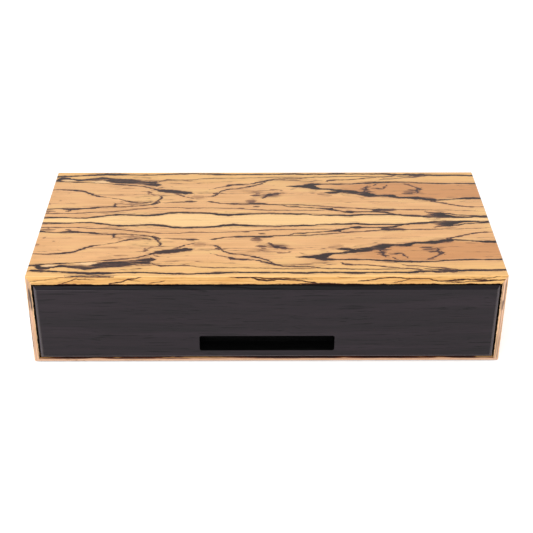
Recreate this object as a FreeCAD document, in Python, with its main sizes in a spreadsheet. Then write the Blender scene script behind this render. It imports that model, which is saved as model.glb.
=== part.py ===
"""Cigar humidor: a veneered case with mitred corners and one cedar-lined drawer on ball slides.

Millimetres, +Z up. The front faces -Y and +X is to the right of someone who looks at the front.
The origin is the middle of the case's footprint, on the surface that the humidor stands on.
"""

import FreeCAD, Part
import math
import os
import re
import Sketcher

# The driving sizes: name, value in millimetres (or a plain count), and what it measures.
SIZES = [
    ("case_width", 400, "case, left to right"),
    ("case_depth", 192, "case, front edge to back, without the drawer's bevel"),
    ("case_height", 86, "case without the felt"),
    ("top_wall", 8, "top board with its veneer"),
    ("side_wall", 5, "side board with its veneer"),
    ("bottom_wall", 4, "bottom board"),
    ("back_wall", 6, "back board with its veneer"),
    ("veneer", 0.6, "veneer sheet"),
    ("lipping_depth", 3, "strip on the front edge of each board, front to back"),
    ("edge_ease", 0.7, "bevel that eases the case's outer edges"),
    ("lining", 5, "cedar lining board"),
    ("felt_thickness", 1.2, "felt under the base"),
    ("felt_inset", 3, "felt's edge to the case's edge"),
    ("front_gap", 1.2, "gap round the drawer front"),
    ("front_proud", 2.8, "how far the drawer front stands out of the case"),
    ("front_thickness", 18, "drawer front board"),
    ("front_bevel", 2.8, "bevel round the drawer front"),
    ("slot_length", 115, "finger slot, left to right"),
    ("slot_height", 15, "finger slot, bottom to top"),
    ("slot_depth", 13.5, "finger slot, front to back"),
    ("slot_corner", 1.8, "corner radius of the finger slot"),
    ("slot_raise", 8, "lower edge of the drawer front to the finger slot"),
    ("cove_radius", 4, "cove behind the slot's upper lip, for the fingertips"),
    ("cove_raise", 1.5, "slot's upper edge to the middle of the cove"),
    ("seal_thickness", 1.2, "seal between the drawer front and the lining"),
    ("seal_width", 3, "seal strip"),
    ("seal_inset", 0.4, "seal's outer edge to the drawer front's edge"),
    ("box_wall", 8, "wall of the drawer box"),
    ("box_floor", 5, "bottom panel of the drawer box"),
    ("box_under", 1.8, "drawer box to the floor lining"),
    ("box_over", 4.2, "drawer box to the ceiling lining"),
    ("box_behind", 5, "drawer box to the back lining"),
    ("groove_raise", 4, "lower edge of the box wall to the bottom panel"),
    ("groove_depth", 3.5, "groove that holds the bottom panel"),
    ("groove_play", 0.3, "room for the bottom panel to swell in its groove"),
    ("tail_count", 4, "dovetails at each corner"),
    ("tail_slope", 6, "dovetail slope, one to this number"),
    ("pin_tip", 3.5, "narrow end of a dovetail pin"),
    ("housing_depth", 2, "housing that holds the partition"),
    ("slide_width", 12.7, "ball slide, lining to drawer box"),
    ("slide_height", 30, "ball slide, bottom to top"),
    ("sheet", 1, "steel of the rails"),
    ("outer_reach", 11.1, "outer rail's flange, from the lining"),
    ("outer_lip", 1.1, "turned-in lip of the outer rail"),
    ("middle_start", 2.7, "lining to the middle rail's web"),
    ("middle_reach", 10.7, "lining to the middle rail's edge"),
    ("middle_lip", 0.7, "turned-in lip of the middle rail"),
    ("inner_start", 5.9, "lining to the inner rail's edge"),
    ("ball_radius", 1.5, "steel ball"),
    ("ball_play", 0.1, "ball to its track"),
    ("track_depth", 0.3, "ball track sunk into a flange"),
    ("outer_track", 5.1, "lining to the outer stage's ball tracks"),
    ("inner_track", 7.9, "lining to the inner stage's ball tracks"),
    ("ball_count", 4, "balls in one row of a cage"),
    ("cage_sheet", 0.5, "steel of the ball cages"),
    ("outer_cage_gap", 0.9, "outer rail's web to its ball cage's web, which passes over the screws"),
    ("inner_cage_gap", 0.3, "middle rail's web to the inner ball cage's web"),
    ("cage_margin", 2.2, "ball's middle to the edge of its cage"),
    ("cage_spare", 11, "rail left bare by a cage when a stage is fully out"),
    ("travel_loss", 6, "rail length that the drawer's travel doesn't reach"),
    ("rail_setback", 1.6, "lining's front edge to the rails"),
    ("rail_clearance", 2, "rails' rear end to the rear face of the drawer box"),
    ("rail_screw_edge", 14, "end of a rail to its first screw"),
    ("rail_screw_count", 3, "screws in each rail"),
    ("rail_screw_head", 2.4, "head radius of a rail screw"),
    ("rail_screw_rise", 0.7, "height of that flat head"),
    ("rail_screw_shank", 1.3, "shank radius of a rail screw"),
    ("rail_screw_cover", 1, "wood left behind the end of a rail screw"),
    ("front_screw_head", 3.6, "head radius of the drawer front's screws"),
    ("front_screw_shank", 1.75, "shank radius of the drawer front's screws"),
    ("front_screw_sink", 2, "height of their heads, sunk in the drawer box"),
    ("front_screw_cover", 10, "wood left in front of their ends"),
    ("front_screw_place", 50, "middle of the drawer to the nearer pair of screws"),
    ("front_screw_inset", 19.3, "wall of the drawer box to the farther pair of screws"),
    ("front_screw_drop", 18, "upper edge of the drawer box to the screws"),
    ("screw_play", 0.05, "screw to the side of its hole"),
    ("bay_width", 58, "bay for the hygrometer and the humidifier"),
    ("partition_wall", 6, "fixed partition beside the bay"),
    ("vent_count", 7, "air slots in the partition"),
    ("vent_width", 5, "air slot"),
    ("vent_height", 26, "air slot, bottom to top"),
    ("vent_margin", 15.9, "wall of the drawer box to the first air slot"),
    ("divider_wall", 6, "movable divider"),
    ("divider_drop", 2.6, "upper edge of the drawer box to the divider"),
    ("divider_play", 0.4, "divider to the drawer box at each end and below"),
    ("divider_round", 1.5, "radius along the divider's upper edges"),
    ("block_length", 60, "hygrometer block, front to back"),
    ("block_height", 24, "hygrometer block"),
    ("cup_radius", 20, "hygrometer cup, outside"),
    ("cup_depth", 13, "hygrometer cup below the face of its block"),
    ("cup_wall", 0.8, "wall of the cup"),
    ("cup_floor", 1, "floor of the cup"),
    ("cup_step", 0.8, "ledge in the cup that carries the dial"),
    ("cup_play", 0.3, "cup to its bore in the block"),
    ("bore_spare", 2, "bore below the cup"),
    ("cup_rise", 1, "block's top to the cup's rim"),
    ("dial_drop", 2, "block's top to the dial's face"),
    ("dial_thickness", 0.5, "dial plate"),
    ("dial_play", 0.1, "dial to the cup's wall"),
    ("dial_hole", 1.4, "hole in the middle of the dial"),
    ("glass_thickness", 1.2, "hygrometer glass"),
    ("bezel_wall", 3.4, "bezel round the cup, which rests on the block"),
    ("glass_play", 0.1, "glass to the bezel"),
    ("bezel_cover", 1.2, "bezel's lip over the glass"),
    ("bezel_lip", 1.1, "height of the bezel's lip"),
    ("bezel_ease", 0.8, "bevel on the bezel's upper outer edge"),
    ("needle_length", 15.5, "spindle to the needle's point"),
    ("needle_tail", 5, "spindle to the needle's tail"),
    ("needle_half", 0.9, "half the needle's width at the spindle"),
    ("needle_thickness", 0.3, "needle"),
    ("needle_rise", 0.7, "dial's face to the needle"),
    ("hub_radius", 1.6, "cap on the spindle"),
    ("hub_height", 1, "cap on the spindle, with the needle"),
    ("spindle_radius", 0.6, "hygrometer spindle"),
    ("spindle_end", 0.8, "spindle's lower end to the cup's floor"),
    ("coil_height", 2, "strip of the humidity coil, bottom to top"),
    ("coil_strip", 0.4, "thickness of the coil's strip"),
    ("coil_start", 1.4, "radius of the coil's first turn"),
    ("coil_pitch", 2, "turn to turn of the coil"),
    ("coil_turns", 3, "turns of the coil"),
    ("coil_runs", 12, "short straight runs in one turn of the coil"),
    ("coil_raise", 3, "cup's floor to the coil"),
    ("post_radius", 0.8, "post that anchors the coil"),
    ("coil_gap", 0.05, "coil's free end to its post"),
    ("reading", 54, "needle at rest, degrees clockwise from the top of the dial"),
    ("tray_side_room", 3, "humidifier tray to each side of its bay"),
    ("tray_end_room", 3.4, "humidifier tray to the block in front of it and the wall behind it"),
    ("tray_height", 17, "humidifier tray"),
    ("tray_wall", 1.6, "walls and floor of the tray"),
    ("tray_corner", 5, "corner radius of the tray"),
    ("foam_play", 0.3, "foam to the tray"),
    ("foam_height", 12, "water-holding foam"),
    ("cover_thickness", 2.4, "humidifier cover"),
    ("cover_ease", 0.8, "bevel round the cover's upper edge"),
    ("cover_slots", 9, "slots in the cover"),
    ("cover_slot_width", 3, "slot in the cover"),
    ("cover_slot_side", 7, "side of the cover to its slots"),
    ("cover_slot_end", 8.7, "end of the cover to its first slot"),
    ("spigot_depth", 2, "rim under the cover that locates it in the tray"),
    ("spigot_wall", 1.4, "wall of that rim"),
    ("spigot_play", 1.4, "rim to the tray's walls, clear of its rounded corners"),
]

# Places worked out from the sizes, each from those above it.
PLACES = [
    ("case_half", "case_width / 2"),
    ("case_rear", "case_depth / 2"),
    ("case_front", "-case_depth / 2"),
    ("case_base", "felt_thickness"),
    ("case_top", "case_base + case_height"),
    ("core_half", "case_half - veneer"),
    ("core_top", "case_top - veneer"),
    ("core_rear", "case_rear - veneer"),
    ("lipping_rear", "case_front + lipping_depth"),
    ("inside_half", "case_half - side_wall"),
    ("inside_base", "case_base + bottom_wall"),
    ("inside_top", "case_top - top_wall"),
    ("inside_rear", "case_rear - back_wall"),
    ("lined_half", "inside_half - lining"),
    ("lined_base", "inside_base + lining"),
    ("lined_top", "inside_top - lining"),
    ("lined_rear", "inside_rear - lining"),
    ("panel_front", "case_front - front_proud"),
    ("panel_rear", "panel_front + front_thickness"),
    ("panel_half", "inside_half - front_gap"),
    ("panel_base", "inside_base + front_gap"),
    ("panel_top", "inside_top - front_gap"),
    ("lining_front", "panel_rear + seal_thickness"),
    ("slot_half", "slot_length / 2"),
    ("slot_base", "panel_base + slot_raise"),
    ("slot_top", "slot_base + slot_height"),
    ("slot_rear", "panel_front + slot_depth"),
    ("box_half", "lined_half - slide_width"),
    ("bay_half", "box_half - box_wall"),
    ("box_base", "lined_base + box_under"),
    ("box_top", "lined_top - box_over"),
    ("box_front", "panel_rear"),
    ("box_rear", "lined_rear - box_behind"),
    ("well_front", "box_front + box_wall"),
    ("well_rear", "box_rear - box_wall"),
    ("well_middle", "(well_front + well_rear) / 2"),
    ("groove_base", "box_base + groove_raise"),
    ("well_floor", "groove_base + box_floor"),
    ("tail_pitch", "(box_top - box_base) / tail_count"),
    ("pin_root", "pin_tip + 2 * box_wall / tail_slope"),
    ("slide_level", "(box_base + box_top) / 2"),
    ("rail_front", "lining_front + rail_setback"),
    ("rail_rear", "box_rear - rail_clearance"),
    ("rail_length", "rail_rear - rail_front"),
    ("rail_middle", "(rail_front + rail_rear) / 2"),
    ("rail_screw_pitch", "(rail_length - 2 * rail_screw_edge) / (rail_screw_count - 1)"),
    ("travel", "rail_length - travel_loss"),
    ("cage_length", "rail_length - travel / 2 - cage_spare"),
    ("ball_pitch", "(cage_length - 2 * cage_margin) / (ball_count - 1)"),
    ("track_radius", "ball_radius + ball_play"),
    ("outer_half", "slide_height / 2"),
    ("outer_row", "outer_half - sheet + track_depth - track_radius"),
    ("middle_half", "outer_row - track_radius + track_depth"),
    ("inner_row", "middle_half - sheet + track_depth - track_radius"),
    ("inner_half", "inner_row - track_radius + track_depth"),
    ("front_screw_level", "box_top - front_screw_drop"),
    ("front_screw_spacing", "bay_half - front_screw_inset - front_screw_place"),
    ("bay_left", "bay_half - bay_width"),
    ("bay_middle", "bay_half - bay_width / 2"),
    ("partition_left", "bay_left - partition_wall"),
    ("divider_middle", "(partition_left - bay_half) / 2"),
    ("divider_base", "well_floor + divider_play"),
    ("divider_height", "box_top - divider_drop - divider_base"),
    ("vent_row", "well_rear - well_front - 2 * vent_margin - vent_width"),
    ("block_rear", "well_front + block_length"),
    ("block_top", "well_floor + block_height"),
    ("meter_middle", "well_front + block_length / 2"),
    ("glass_top", "cup_rise + glass_thickness"),
    ("bezel_radius", "cup_radius + bezel_wall"),
    ("bezel_top", "glass_top + bezel_lip"),
    ("tray_middle", "(block_rear + well_rear) / 2"),
    ("tray_width", "bay_width - 2 * tray_side_room"),
    ("tray_length", "well_rear - block_rear - 2 * tray_end_room"),
    ("cover_slot_half", "tray_width / 2 - cover_slot_side"),
    ("cover_slot_row", "tray_length - 2 * cover_slot_end - cover_slot_width"),
]

doc = FreeCAD.newDocument("humidor")
nodes = []


def write_sheet():
    """The sheet of driving sizes, one row each: name, value, meaning."""
    sheet = doc.addObject("Spreadsheet::Sheet", "Sizes")
    for row, (name, value, meaning) in enumerate(SIZES, start=1):
        sheet.set(f"A{row}", name)
        sheet.set(f"B{row}", str(value))
        sheet.set(f"C{row}", meaning)
        sheet.setAlias(f"B{row}", name)
    doc.recompute()


def bound(text):
    """The expression with each size and place written with the name of the object that holds it."""
    homes = {name: "Sizes" for name, value, meaning in SIZES}
    homes.update({name: "Places" for name, formula in PLACES})

    def full_name(match):
        word = match.group(0)
        return f"{homes[word]}.{word}" if word in homes else word

    return re.sub(r"[a-z_]+", full_name, text)


def write_places():
    """The places that follow from the sizes, each a property with its formula."""
    places = doc.addObject("App::VarSet", "Places")
    for name, formula in PLACES:
        places.addProperty("App::PropertyFloat", name)
        places.setExpression(name, bound(formula))
    doc.recompute()


write_sheet()
write_places()
scratch = doc.addObject("App::VarSet", "Scratch")
scratch.addProperty("App::PropertyFloat", "value")


def number(text):
    """The value of an expression, to start a sketch's geometry near its place."""
    scratch.setExpression("value", bound(text))
    scratch.recompute()
    return scratch.value


def minus(text):
    return f"-({text})"


def keep(piece, label):
    """Names a finished piece and adds it to those that are written out."""
    piece.Label = label
    nodes.append(piece)
    return piece


def add_body(label, x="0", y="0", z="0"):
    body = doc.addObject("PartDesign::Body", label)
    body.setExpression(".Placement.Base.x", bound(x))
    body.setExpression(".Placement.Base.y", bound(y))
    body.setExpression(".Placement.Base.z", bound(z))
    return body


def origin_feature(body, role):
    for feature in body.Origin.OriginFeatures:
        if feature.Role == role:
            return feature
    raise ValueError(role)


def add_sketch(body, role, height="0"):
    """A sketch on one of the body's origin planes, raised to a height along that plane's axis."""
    sketch = body.newObject("Sketcher::SketchObject", f"{body.Name}_sketch")
    sketch.AttachmentSupport = (origin_feature(body, role), [""])
    sketch.MapMode = "FlatFace"
    offset = minus(height) if role == "XZ_Plane" else height
    sketch.setExpression("AttachmentOffset.Base.z", bound(offset))
    return sketch


def fix_point(sketch, geometry, end, x, y):
    """Ties a point of the sketch to the expressions for its two coordinates."""
    for kind, text in (("DistanceX", x), ("DistanceY", y)):
        constraint = Sketcher.Constraint(kind, -1, 1, geometry, end, number(text))
        index = sketch.addConstraint(constraint)
        sketch.setExpression(f"Constraints[{index}]", bound(text))


def fix_radius(sketch, geometry, radius):
    index = sketch.addConstraint(Sketcher.Constraint("Radius", geometry, number(radius)))
    sketch.setExpression(f"Constraints[{index}]", bound(radius))


def draw_outline(sketch, corners):
    """A closed outline of straight lines through the corners."""
    points = [FreeCAD.Vector(number(x), number(y), 0) for x, y in corners]
    first = sketch.GeometryCount
    count = len(corners)
    for index in range(count):
        sketch.addGeometry(Part.LineSegment(points[index], points[(index + 1) % count]))
    for index in range(count):
        following = first + (index + 1) % count
        sketch.addConstraint(Sketcher.Constraint("Coincident", first + index, 2, following, 1))
    for index, (x, y) in enumerate(corners):
        fix_point(sketch, first + index, 1, x, y)


def draw_rectangle(sketch, low, high):
    draw_outline(sketch, [low, (high[0], low[1]), high, (low[0], high[1])])


def draw_circle(sketch, x, y, radius):
    centre = FreeCAD.Vector(number(x), number(y), 0)
    circle = sketch.addGeometry(Part.Circle(centre, FreeCAD.Vector(0, 0, 1), number(radius)))
    fix_point(sketch, circle, 3, x, y)
    fix_radius(sketch, circle, radius)


def draw_rounded(sketch, centres, radius):
    """The outline round equal circles at the centres, which go round anticlockwise."""
    size = number(radius)
    points = [FreeCAD.Vector(number(x), number(y), 0) for x, y in centres]
    count = len(points)
    up = FreeCAD.Vector(0, 0, 1)
    headings = []
    for index in range(count):
        run = points[(index + 1) % count] - points[index]
        headings.append(math.atan2(run.y, run.x))
    first = sketch.GeometryCount
    for index, point in enumerate(points):
        start = headings[index - 1] - math.pi / 2
        finish = headings[index] - math.pi / 2
        while finish <= start:
            finish += 2 * math.pi
        sketch.addGeometry(Part.ArcOfCircle(Part.Circle(point, up, size), start, finish))
        side = FreeCAD.Vector(math.cos(finish), math.sin(finish), 0) * size
        sketch.addGeometry(Part.LineSegment(point + side, points[(index + 1) % count] + side))
    for index in range(count):
        arc = first + 2 * index
        following = first + 2 * ((index + 1) % count)
        sketch.addConstraint(Sketcher.Constraint("Tangent", arc, 2, arc + 1, 1))
        sketch.addConstraint(Sketcher.Constraint("Tangent", arc + 1, 2, following, 1))
    for index, (x, y) in enumerate(centres):
        fix_point(sketch, first + 2 * index, 3, x, y)
        fix_radius(sketch, first + 2 * index, radius)


def draw_rounded_rectangle(sketch, half_x, half_y, radius, middle=("0", "0")):
    right = f"{middle[0]} + ({half_x}) - ({radius})"
    left = f"{middle[0]} - ({half_x}) + ({radius})"
    upper = f"{middle[1]} + ({half_y}) - ({radius})"
    lower = f"{middle[1]} - ({half_y}) + ({radius})"
    draw_rounded(sketch, [(left, lower), (right, lower), (right, upper), (left, upper)], radius)


def pad(body, sketch, length):
    feature = body.newObject("PartDesign::Pad", f"{body.Name}_pad")
    feature.Profile = sketch
    feature.setExpression("Length", bound(length))
    doc.recompute()
    return feature


def pocket(body, sketch, length):
    """Cuts the sketch into the body and makes sure that something was cut."""
    before = body.Shape.Volume
    feature = body.newObject("PartDesign::Pocket", f"{body.Name}_pocket")
    feature.Profile = sketch
    feature.setExpression("Length", bound(length))
    doc.recompute()
    if not body.Shape.Volume < before:
        raise ValueError(f"nothing was cut from {body.Name}")
    return feature


def solid_between(body, role, low, high, draw):
    """Adds what draw puts in a sketch, from low to high along the plane's axis."""
    start = high if role == "XZ_Plane" else low
    sketch = add_sketch(body, role, start)
    draw(sketch)
    return pad(body, sketch, f"({high}) - ({low})")


def cut_between(body, role, low, high, draw):
    """Removes what draw puts in a sketch, from low to high along the plane's axis."""
    start = low if role == "XZ_Plane" else high
    sketch = add_sketch(body, role, start)
    draw(sketch)
    return pocket(body, sketch, f"({high}) - ({low})")


def turned(body, kind, role, axis, corners, shift=("0", "0"), height="0"):
    """Turns an outline about the sketch's own axis: a Revolution adds and a Groove cuts."""
    sketch = add_sketch(body, role, height)
    sketch.setExpression("AttachmentOffset.Base.x", bound(shift[0]))
    sketch.setExpression("AttachmentOffset.Base.y", bound(shift[1]))
    draw_outline(sketch, corners)
    feature = body.newObject(f"PartDesign::{kind}", f"{body.Name}_{kind.lower()}")
    feature.Profile = sketch
    feature.ReferenceAxis = (sketch, [axis])
    feature.Angle = 360
    doc.recompute()
    return feature


def sided(side, near, far):
    """A stretch on the left (-1) or right (1) as its low and high end."""
    return (near, far) if side > 0 else (minus(far), minus(near))


def draw_octagon(sketch, x, y, radius):
    """An eight-sided outline with its corners on a circle, for small round pieces that repeat."""
    corners = []
    for index in range(8):
        angle = f"{22.5 + 45 * index} deg"
        corners.append((f"{x} + ({radius}) * cos({angle})", f"{y} + ({radius}) * sin({angle})"))
    draw_outline(sketch, corners)


def repeated(body, features, rows=(), mirror=None):
    """Repeats features in rows, each an axis, a length and a count, and across a plane."""
    repeat = body.newObject("PartDesign::MultiTransform", f"{body.Name}_repeat")
    repeat.Originals = features
    steps = []
    for axis, length, count in rows:
        row = body.newObject("PartDesign::LinearPattern", f"{body.Name}_row")
        row.Direction = (origin_feature(body, axis), [""])
        row.setExpression("Length", bound(length))
        row.setExpression("Occurrences", bound(count))
        steps.append(row)
    if mirror:
        plane = body.newObject("PartDesign::Mirrored", f"{body.Name}_mirror")
        plane.MirrorPlane = (origin_feature(body, mirror), [""])
        steps.append(plane)
    repeat.Transformations = steps
    body.Tip = repeat
    doc.recompute()
    return repeat


def edge_names(shape, wanted):
    return [f"Edge{n}" for n, edge in enumerate(shape.Edges, start=1) if wanted(edge)]


def runs_along(edge, axis):
    """True for a straight edge along the axis, given as 0, 1 or 2."""
    if not isinstance(edge.Curve, Part.Line):
        return False
    return abs(abs(edge.Curve.Direction[axis]) - 1) < 1e-6


def dress(body, kind, size, wanted):
    """Rounds (Fillet) or bevels (Chamfer) the edges that wanted picks, in the body's own frame."""
    last = body.Tip
    names = edge_names(last.Shape, wanted)
    if not names:
        raise ValueError(f"no edge to dress on {body.Name}")
    feature = body.newObject(f"PartDesign::{kind}", f"{body.Name}_{kind.lower()}")
    feature.Base = (last, names)
    feature.setExpression("Radius" if kind == "Fillet" else "Size", bound(size))
    doc.recompute()
    return feature


def block(label, low, high):
    """A plain board between two opposite corners."""
    board = doc.addObject("Part::Box", label)
    for axis, length, start, end in zip("xyz", ("Length", "Width", "Height"), low, high):
        board.setExpression(f".Placement.Base.{axis}", bound(start))
        board.setExpression(length, bound(f"({end}) - ({start})"))
    return board


def shared(label, first, second):
    """What two solids have in common."""
    common = doc.addObject("Part::Common", label)
    common.Base = first
    common.Tool = second
    return common


# The case. Every outer edge is eased, so the boards, lippings and veneers are cut from one eased block.
eased_block = add_body("eased_block")
solid_between(
    eased_block,
    "XY_Plane",
    "case_base",
    "case_top",
    lambda sketch: draw_rectangle(sketch, ("-case_half", "case_front"), ("case_half", "case_rear")),
)
dress(eased_block, "Chamfer", "edge_ease", lambda edge: True)


def mitred_outline(place):
    """The section of a board or lipping across the case, cut at its ends to the corners' mitres."""
    if place in ("left", "right"):
        side = "-" if place == "left" else ""
        return [
            (f"{side}inside_half", "inside_base"),
            (f"{side}core_half", "case_base"),
            (f"{side}core_half", "core_top"),
            (f"{side}inside_half", "inside_top"),
        ]
    near, far = ("inside_top", "core_top") if place == "top" else ("inside_base", "case_base")
    return [("-inside_half", near), ("inside_half", near), ("core_half", far), ("-core_half", far)]


def mitred_strip(label, place, front, rear):
    strip = add_body(f"{label}_blank")
    solid_between(
        strip, "XZ_Plane", front, rear, lambda sketch: draw_outline(sketch, mitred_outline(place))
    )
    keep(shared(label, eased_block, strip), label)


for place in ("top", "bottom", "left", "right"):
    mitred_strip(f"{place}_board", place, "lipping_rear", "case_rear")
    mitred_strip(f"{place}_lipping", place, "case_front", "lipping_rear")

# The top veneer is two leaves that mirror each other across a joint along the middle.
for label, front, rear in (
    ("top_veneer_front_leaf", "case_front", "0"),
    ("top_veneer_rear_leaf", "0", "case_rear"),
):
    leaf = block(f"{label}_blank", ("-case_half", front, "core_top"), ("case_half", rear, "case_top"))
    keep(shared(label, eased_block, leaf), label)

for label, left, right in (
    ("left_veneer", "-case_half", "-core_half"),
    ("right_veneer", "core_half", "case_half"),
):
    leaf = block(f"{label}_blank", (left, "case_front", "case_base"), (right, "case_rear", "core_top"))
    keep(shared(label, eased_block, leaf), label)

# The back fits between the other boards and is veneered on its outside.
for label, front, rear in (
    ("back_board", "inside_rear", "core_rear"),
    ("back_veneer", "core_rear", "case_rear"),
):
    board = block(label, ("-inside_half", front, "inside_base"), ("inside_half", rear, "inside_top"))
    keep(board, label)

keep(
    block(
        "base_felt",
        ("-case_half + felt_inset", "case_front + felt_inset", "0"),
        ("case_half - felt_inset", "case_rear - felt_inset", "case_base"),
    ),
    "base_felt",
)

# The cedar lining stops behind the drawer front, which closes against its edges.
keep(
    block(
        "ceiling_lining",
        ("-inside_half", "lining_front", "lined_top"),
        ("inside_half", "inside_rear", "inside_top"),
    ),
    "ceiling_lining",
)
keep(
    block(
        "floor_lining",
        ("-inside_half", "lining_front", "inside_base"),
        ("inside_half", "inside_rear", "lined_base"),
    ),
    "floor_lining",
)
keep(
    block(
        "back_lining",
        ("-lined_half", "lined_rear", "lined_base"),
        ("lined_half", "inside_rear", "lined_top"),
    ),
    "back_lining",
)


def slide_body(label):
    """A body whose origin is level with the slides and half way along them."""
    return add_body(label, "0", "rail_middle", "slide_level")


def rail_stretch(body, make, stretch, radius):
    """One eight-sided stretch of the first screw along a rail, or of its hole."""
    first = "-(rail_screw_count - 1) * rail_screw_pitch / 2"
    return make(body, "YZ_Plane", *stretch, lambda sketch: draw_octagon(sketch, first, "0", radius))


def rail_row(body, features, mirror=None):
    length = "(rail_screw_count - 1) * rail_screw_pitch"
    repeated(body, features, [("Y_Axis", length, "rail_screw_count")], mirror)


def rail_holes(body, stretch):
    """The holes of a rail's screws over one stretch."""
    rail_row(body, [rail_stretch(body, cut_between, stretch, "rail_screw_shank + screw_play")])


def rail_screws(label, head, shank):
    """The screws of both sides' rails, each a flat head and a shank."""
    screws = slide_body(label)
    pieces = [
        rail_stretch(screws, solid_between, head, "rail_screw_head"),
        rail_stretch(screws, solid_between, shank, "rail_screw_shank"),
    ]
    rail_row(screws, pieces, "YZ_Plane")
    keep(screws, label)


def front_stretch(body, make, front, rear, radius):
    """One eight-sided stretch of the drawer front's first screw, or of its hole."""
    return make(
        body,
        "XZ_Plane",
        front,
        rear,
        lambda sketch: draw_octagon(sketch, "front_screw_place", "front_screw_level", radius),
    )


def front_row(body, features):
    """Two pairs of screws or holes, one pair on each side of the middle."""
    repeated(body, features, [("X_Axis", "front_screw_spacing", "2")], "YZ_Plane")


FRONT_SCREW_SEAT = "well_front - front_screw_sink"
FRONT_SCREW_END = "panel_front + front_screw_cover"


def slide_place(front, rear, base, top):
    """Corner places as seen from a slide body's own origin."""
    return f"{front} - rail_middle", f"{rear} - rail_middle", f"{base} - slide_level", f"{top} - slide_level"


def side_slab(body, side, near, far, front, rear, base, top):
    """A board on the left (-1) or right (1), seen from a slide body's own origin."""
    front, rear, base, top = slide_place(front, rear, base, top)
    stretch = sided(side, near, far)
    solid_between(
        body, "YZ_Plane", *stretch, lambda sketch: draw_rectangle(sketch, (front, base), (rear, top))
    )


for side, name in ((-1, "left"), (1, "right")):
    lining = slide_body(f"{name}_lining")
    side_slab(
        lining, side, "lined_half", "inside_half", "lining_front", "inside_rear", "lined_base", "lined_top"
    )
    rail_holes(lining, sided(side, "lined_half", "inside_half - rail_screw_cover + screw_play"))
    keep(lining, f"{name}_lining")


# The drawer front: a stained board with a bevel all round, a finger slot and a cove behind its upper lip.
front = add_body("drawer_front")
solid_between(
    front,
    "XZ_Plane",
    "panel_front",
    "panel_rear",
    lambda sketch: draw_rectangle(sketch, ("-panel_half", "panel_base"), ("panel_half", "panel_top")),
)
front_plane = number("panel_front")
dress(
    front,
    "Chamfer",
    "front_bevel",
    lambda edge: abs(edge.BoundBox.YMax - front_plane) < 1e-6,
)
cut_between(
    front,
    "XZ_Plane",
    "panel_front",
    "slot_rear",
    lambda sketch: draw_rounded_rectangle(
        sketch, "slot_half", "slot_height / 2", "slot_corner", ("0", "slot_base + slot_height / 2")
    ),
)
cut_between(
    front,
    "YZ_Plane",
    "-slot_half + slot_corner",
    "slot_half - slot_corner",
    lambda sketch: draw_circle(sketch, "slot_rear - cove_radius", "slot_top + cove_raise", "cove_radius"),
)
hole = front_stretch(
    front, cut_between, f"{FRONT_SCREW_END} - screw_play", "panel_rear", "front_screw_shank + screw_play"
)
front_row(front, [hole])
keep(front, "drawer_front")


# The seal is a strip round the back of the drawer front.
seal = add_body("drawer_seal")


def draw_seal(sketch):
    for inset in ("seal_inset", "seal_inset + seal_width"):
        draw_rectangle(
            sketch,
            (f"-panel_half + {inset}", f"panel_base + {inset}"),
            (f"panel_half - ({inset})", f"panel_top - ({inset})"),
        )


solid_between(seal, "XZ_Plane", "panel_rear", "lining_front", draw_seal)
keep(seal, "drawer_seal")


# The drawer box. Its sides carry the dovetails, and its ends the pins that fit between them.
def dovetail(outer, inner, level, outer_size, inner_size):
    """A dovetail outline across a corner: its size at the box's outer face and at its inner face."""
    return [
        (outer, f"{level} + ({outer_size}) / 2"),
        (outer, f"{level} - ({outer_size}) / 2"),
        (inner, f"{level} - ({inner_size}) / 2"),
        (inner, f"{level} + ({inner_size}) / 2"),
    ]


def end_wall(label, outer, inner, direction):
    """The inner front (direction -1) or the back (1) of the drawer box, with pins at both ends."""
    wall = add_body(label)
    low, high = (outer, inner) if direction < 0 else (inner, outer)
    solid_between(
        wall,
        "XZ_Plane",
        low,
        high,
        lambda sketch: draw_rectangle(sketch, ("-box_half", "box_base"), ("box_half", "box_top")),
    )
    socket = dovetail(
        outer, inner, "box_base + tail_pitch / 2", "tail_pitch - pin_tip", "tail_pitch - pin_root"
    )
    cut = cut_between(wall, "YZ_Plane", "bay_half", "box_half", lambda sketch: draw_outline(sketch, socket))
    repeated(wall, [cut], [("Z_Axis", "(tail_count - 1) * tail_pitch", "tail_count")], "YZ_Plane")

    def reach(depth):
        return (f"{inner} - {depth}", inner) if direction < 0 else (inner, f"{inner} + {depth}")

    groove_half = "bay_half + groove_depth"
    cut_between(
        wall,
        "XZ_Plane",
        *reach("groove_depth"),
        lambda sketch: draw_rectangle(
            sketch, (minus(groove_half), "groove_base"), (groove_half, "well_floor")
        ),
    )
    cut_between(
        wall,
        "XZ_Plane",
        *reach("housing_depth"),
        lambda sketch: draw_rectangle(sketch, ("partition_left", "well_floor"), ("bay_left", "box_top")),
    )
    if direction < 0:
        holes = [
            front_stretch(wall, cut_between, outer, inner, "front_screw_shank + screw_play"),
            front_stretch(wall, cut_between, FRONT_SCREW_SEAT, inner, "front_screw_head + screw_play"),
        ]
        front_row(wall, holes)
    return wall


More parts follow.
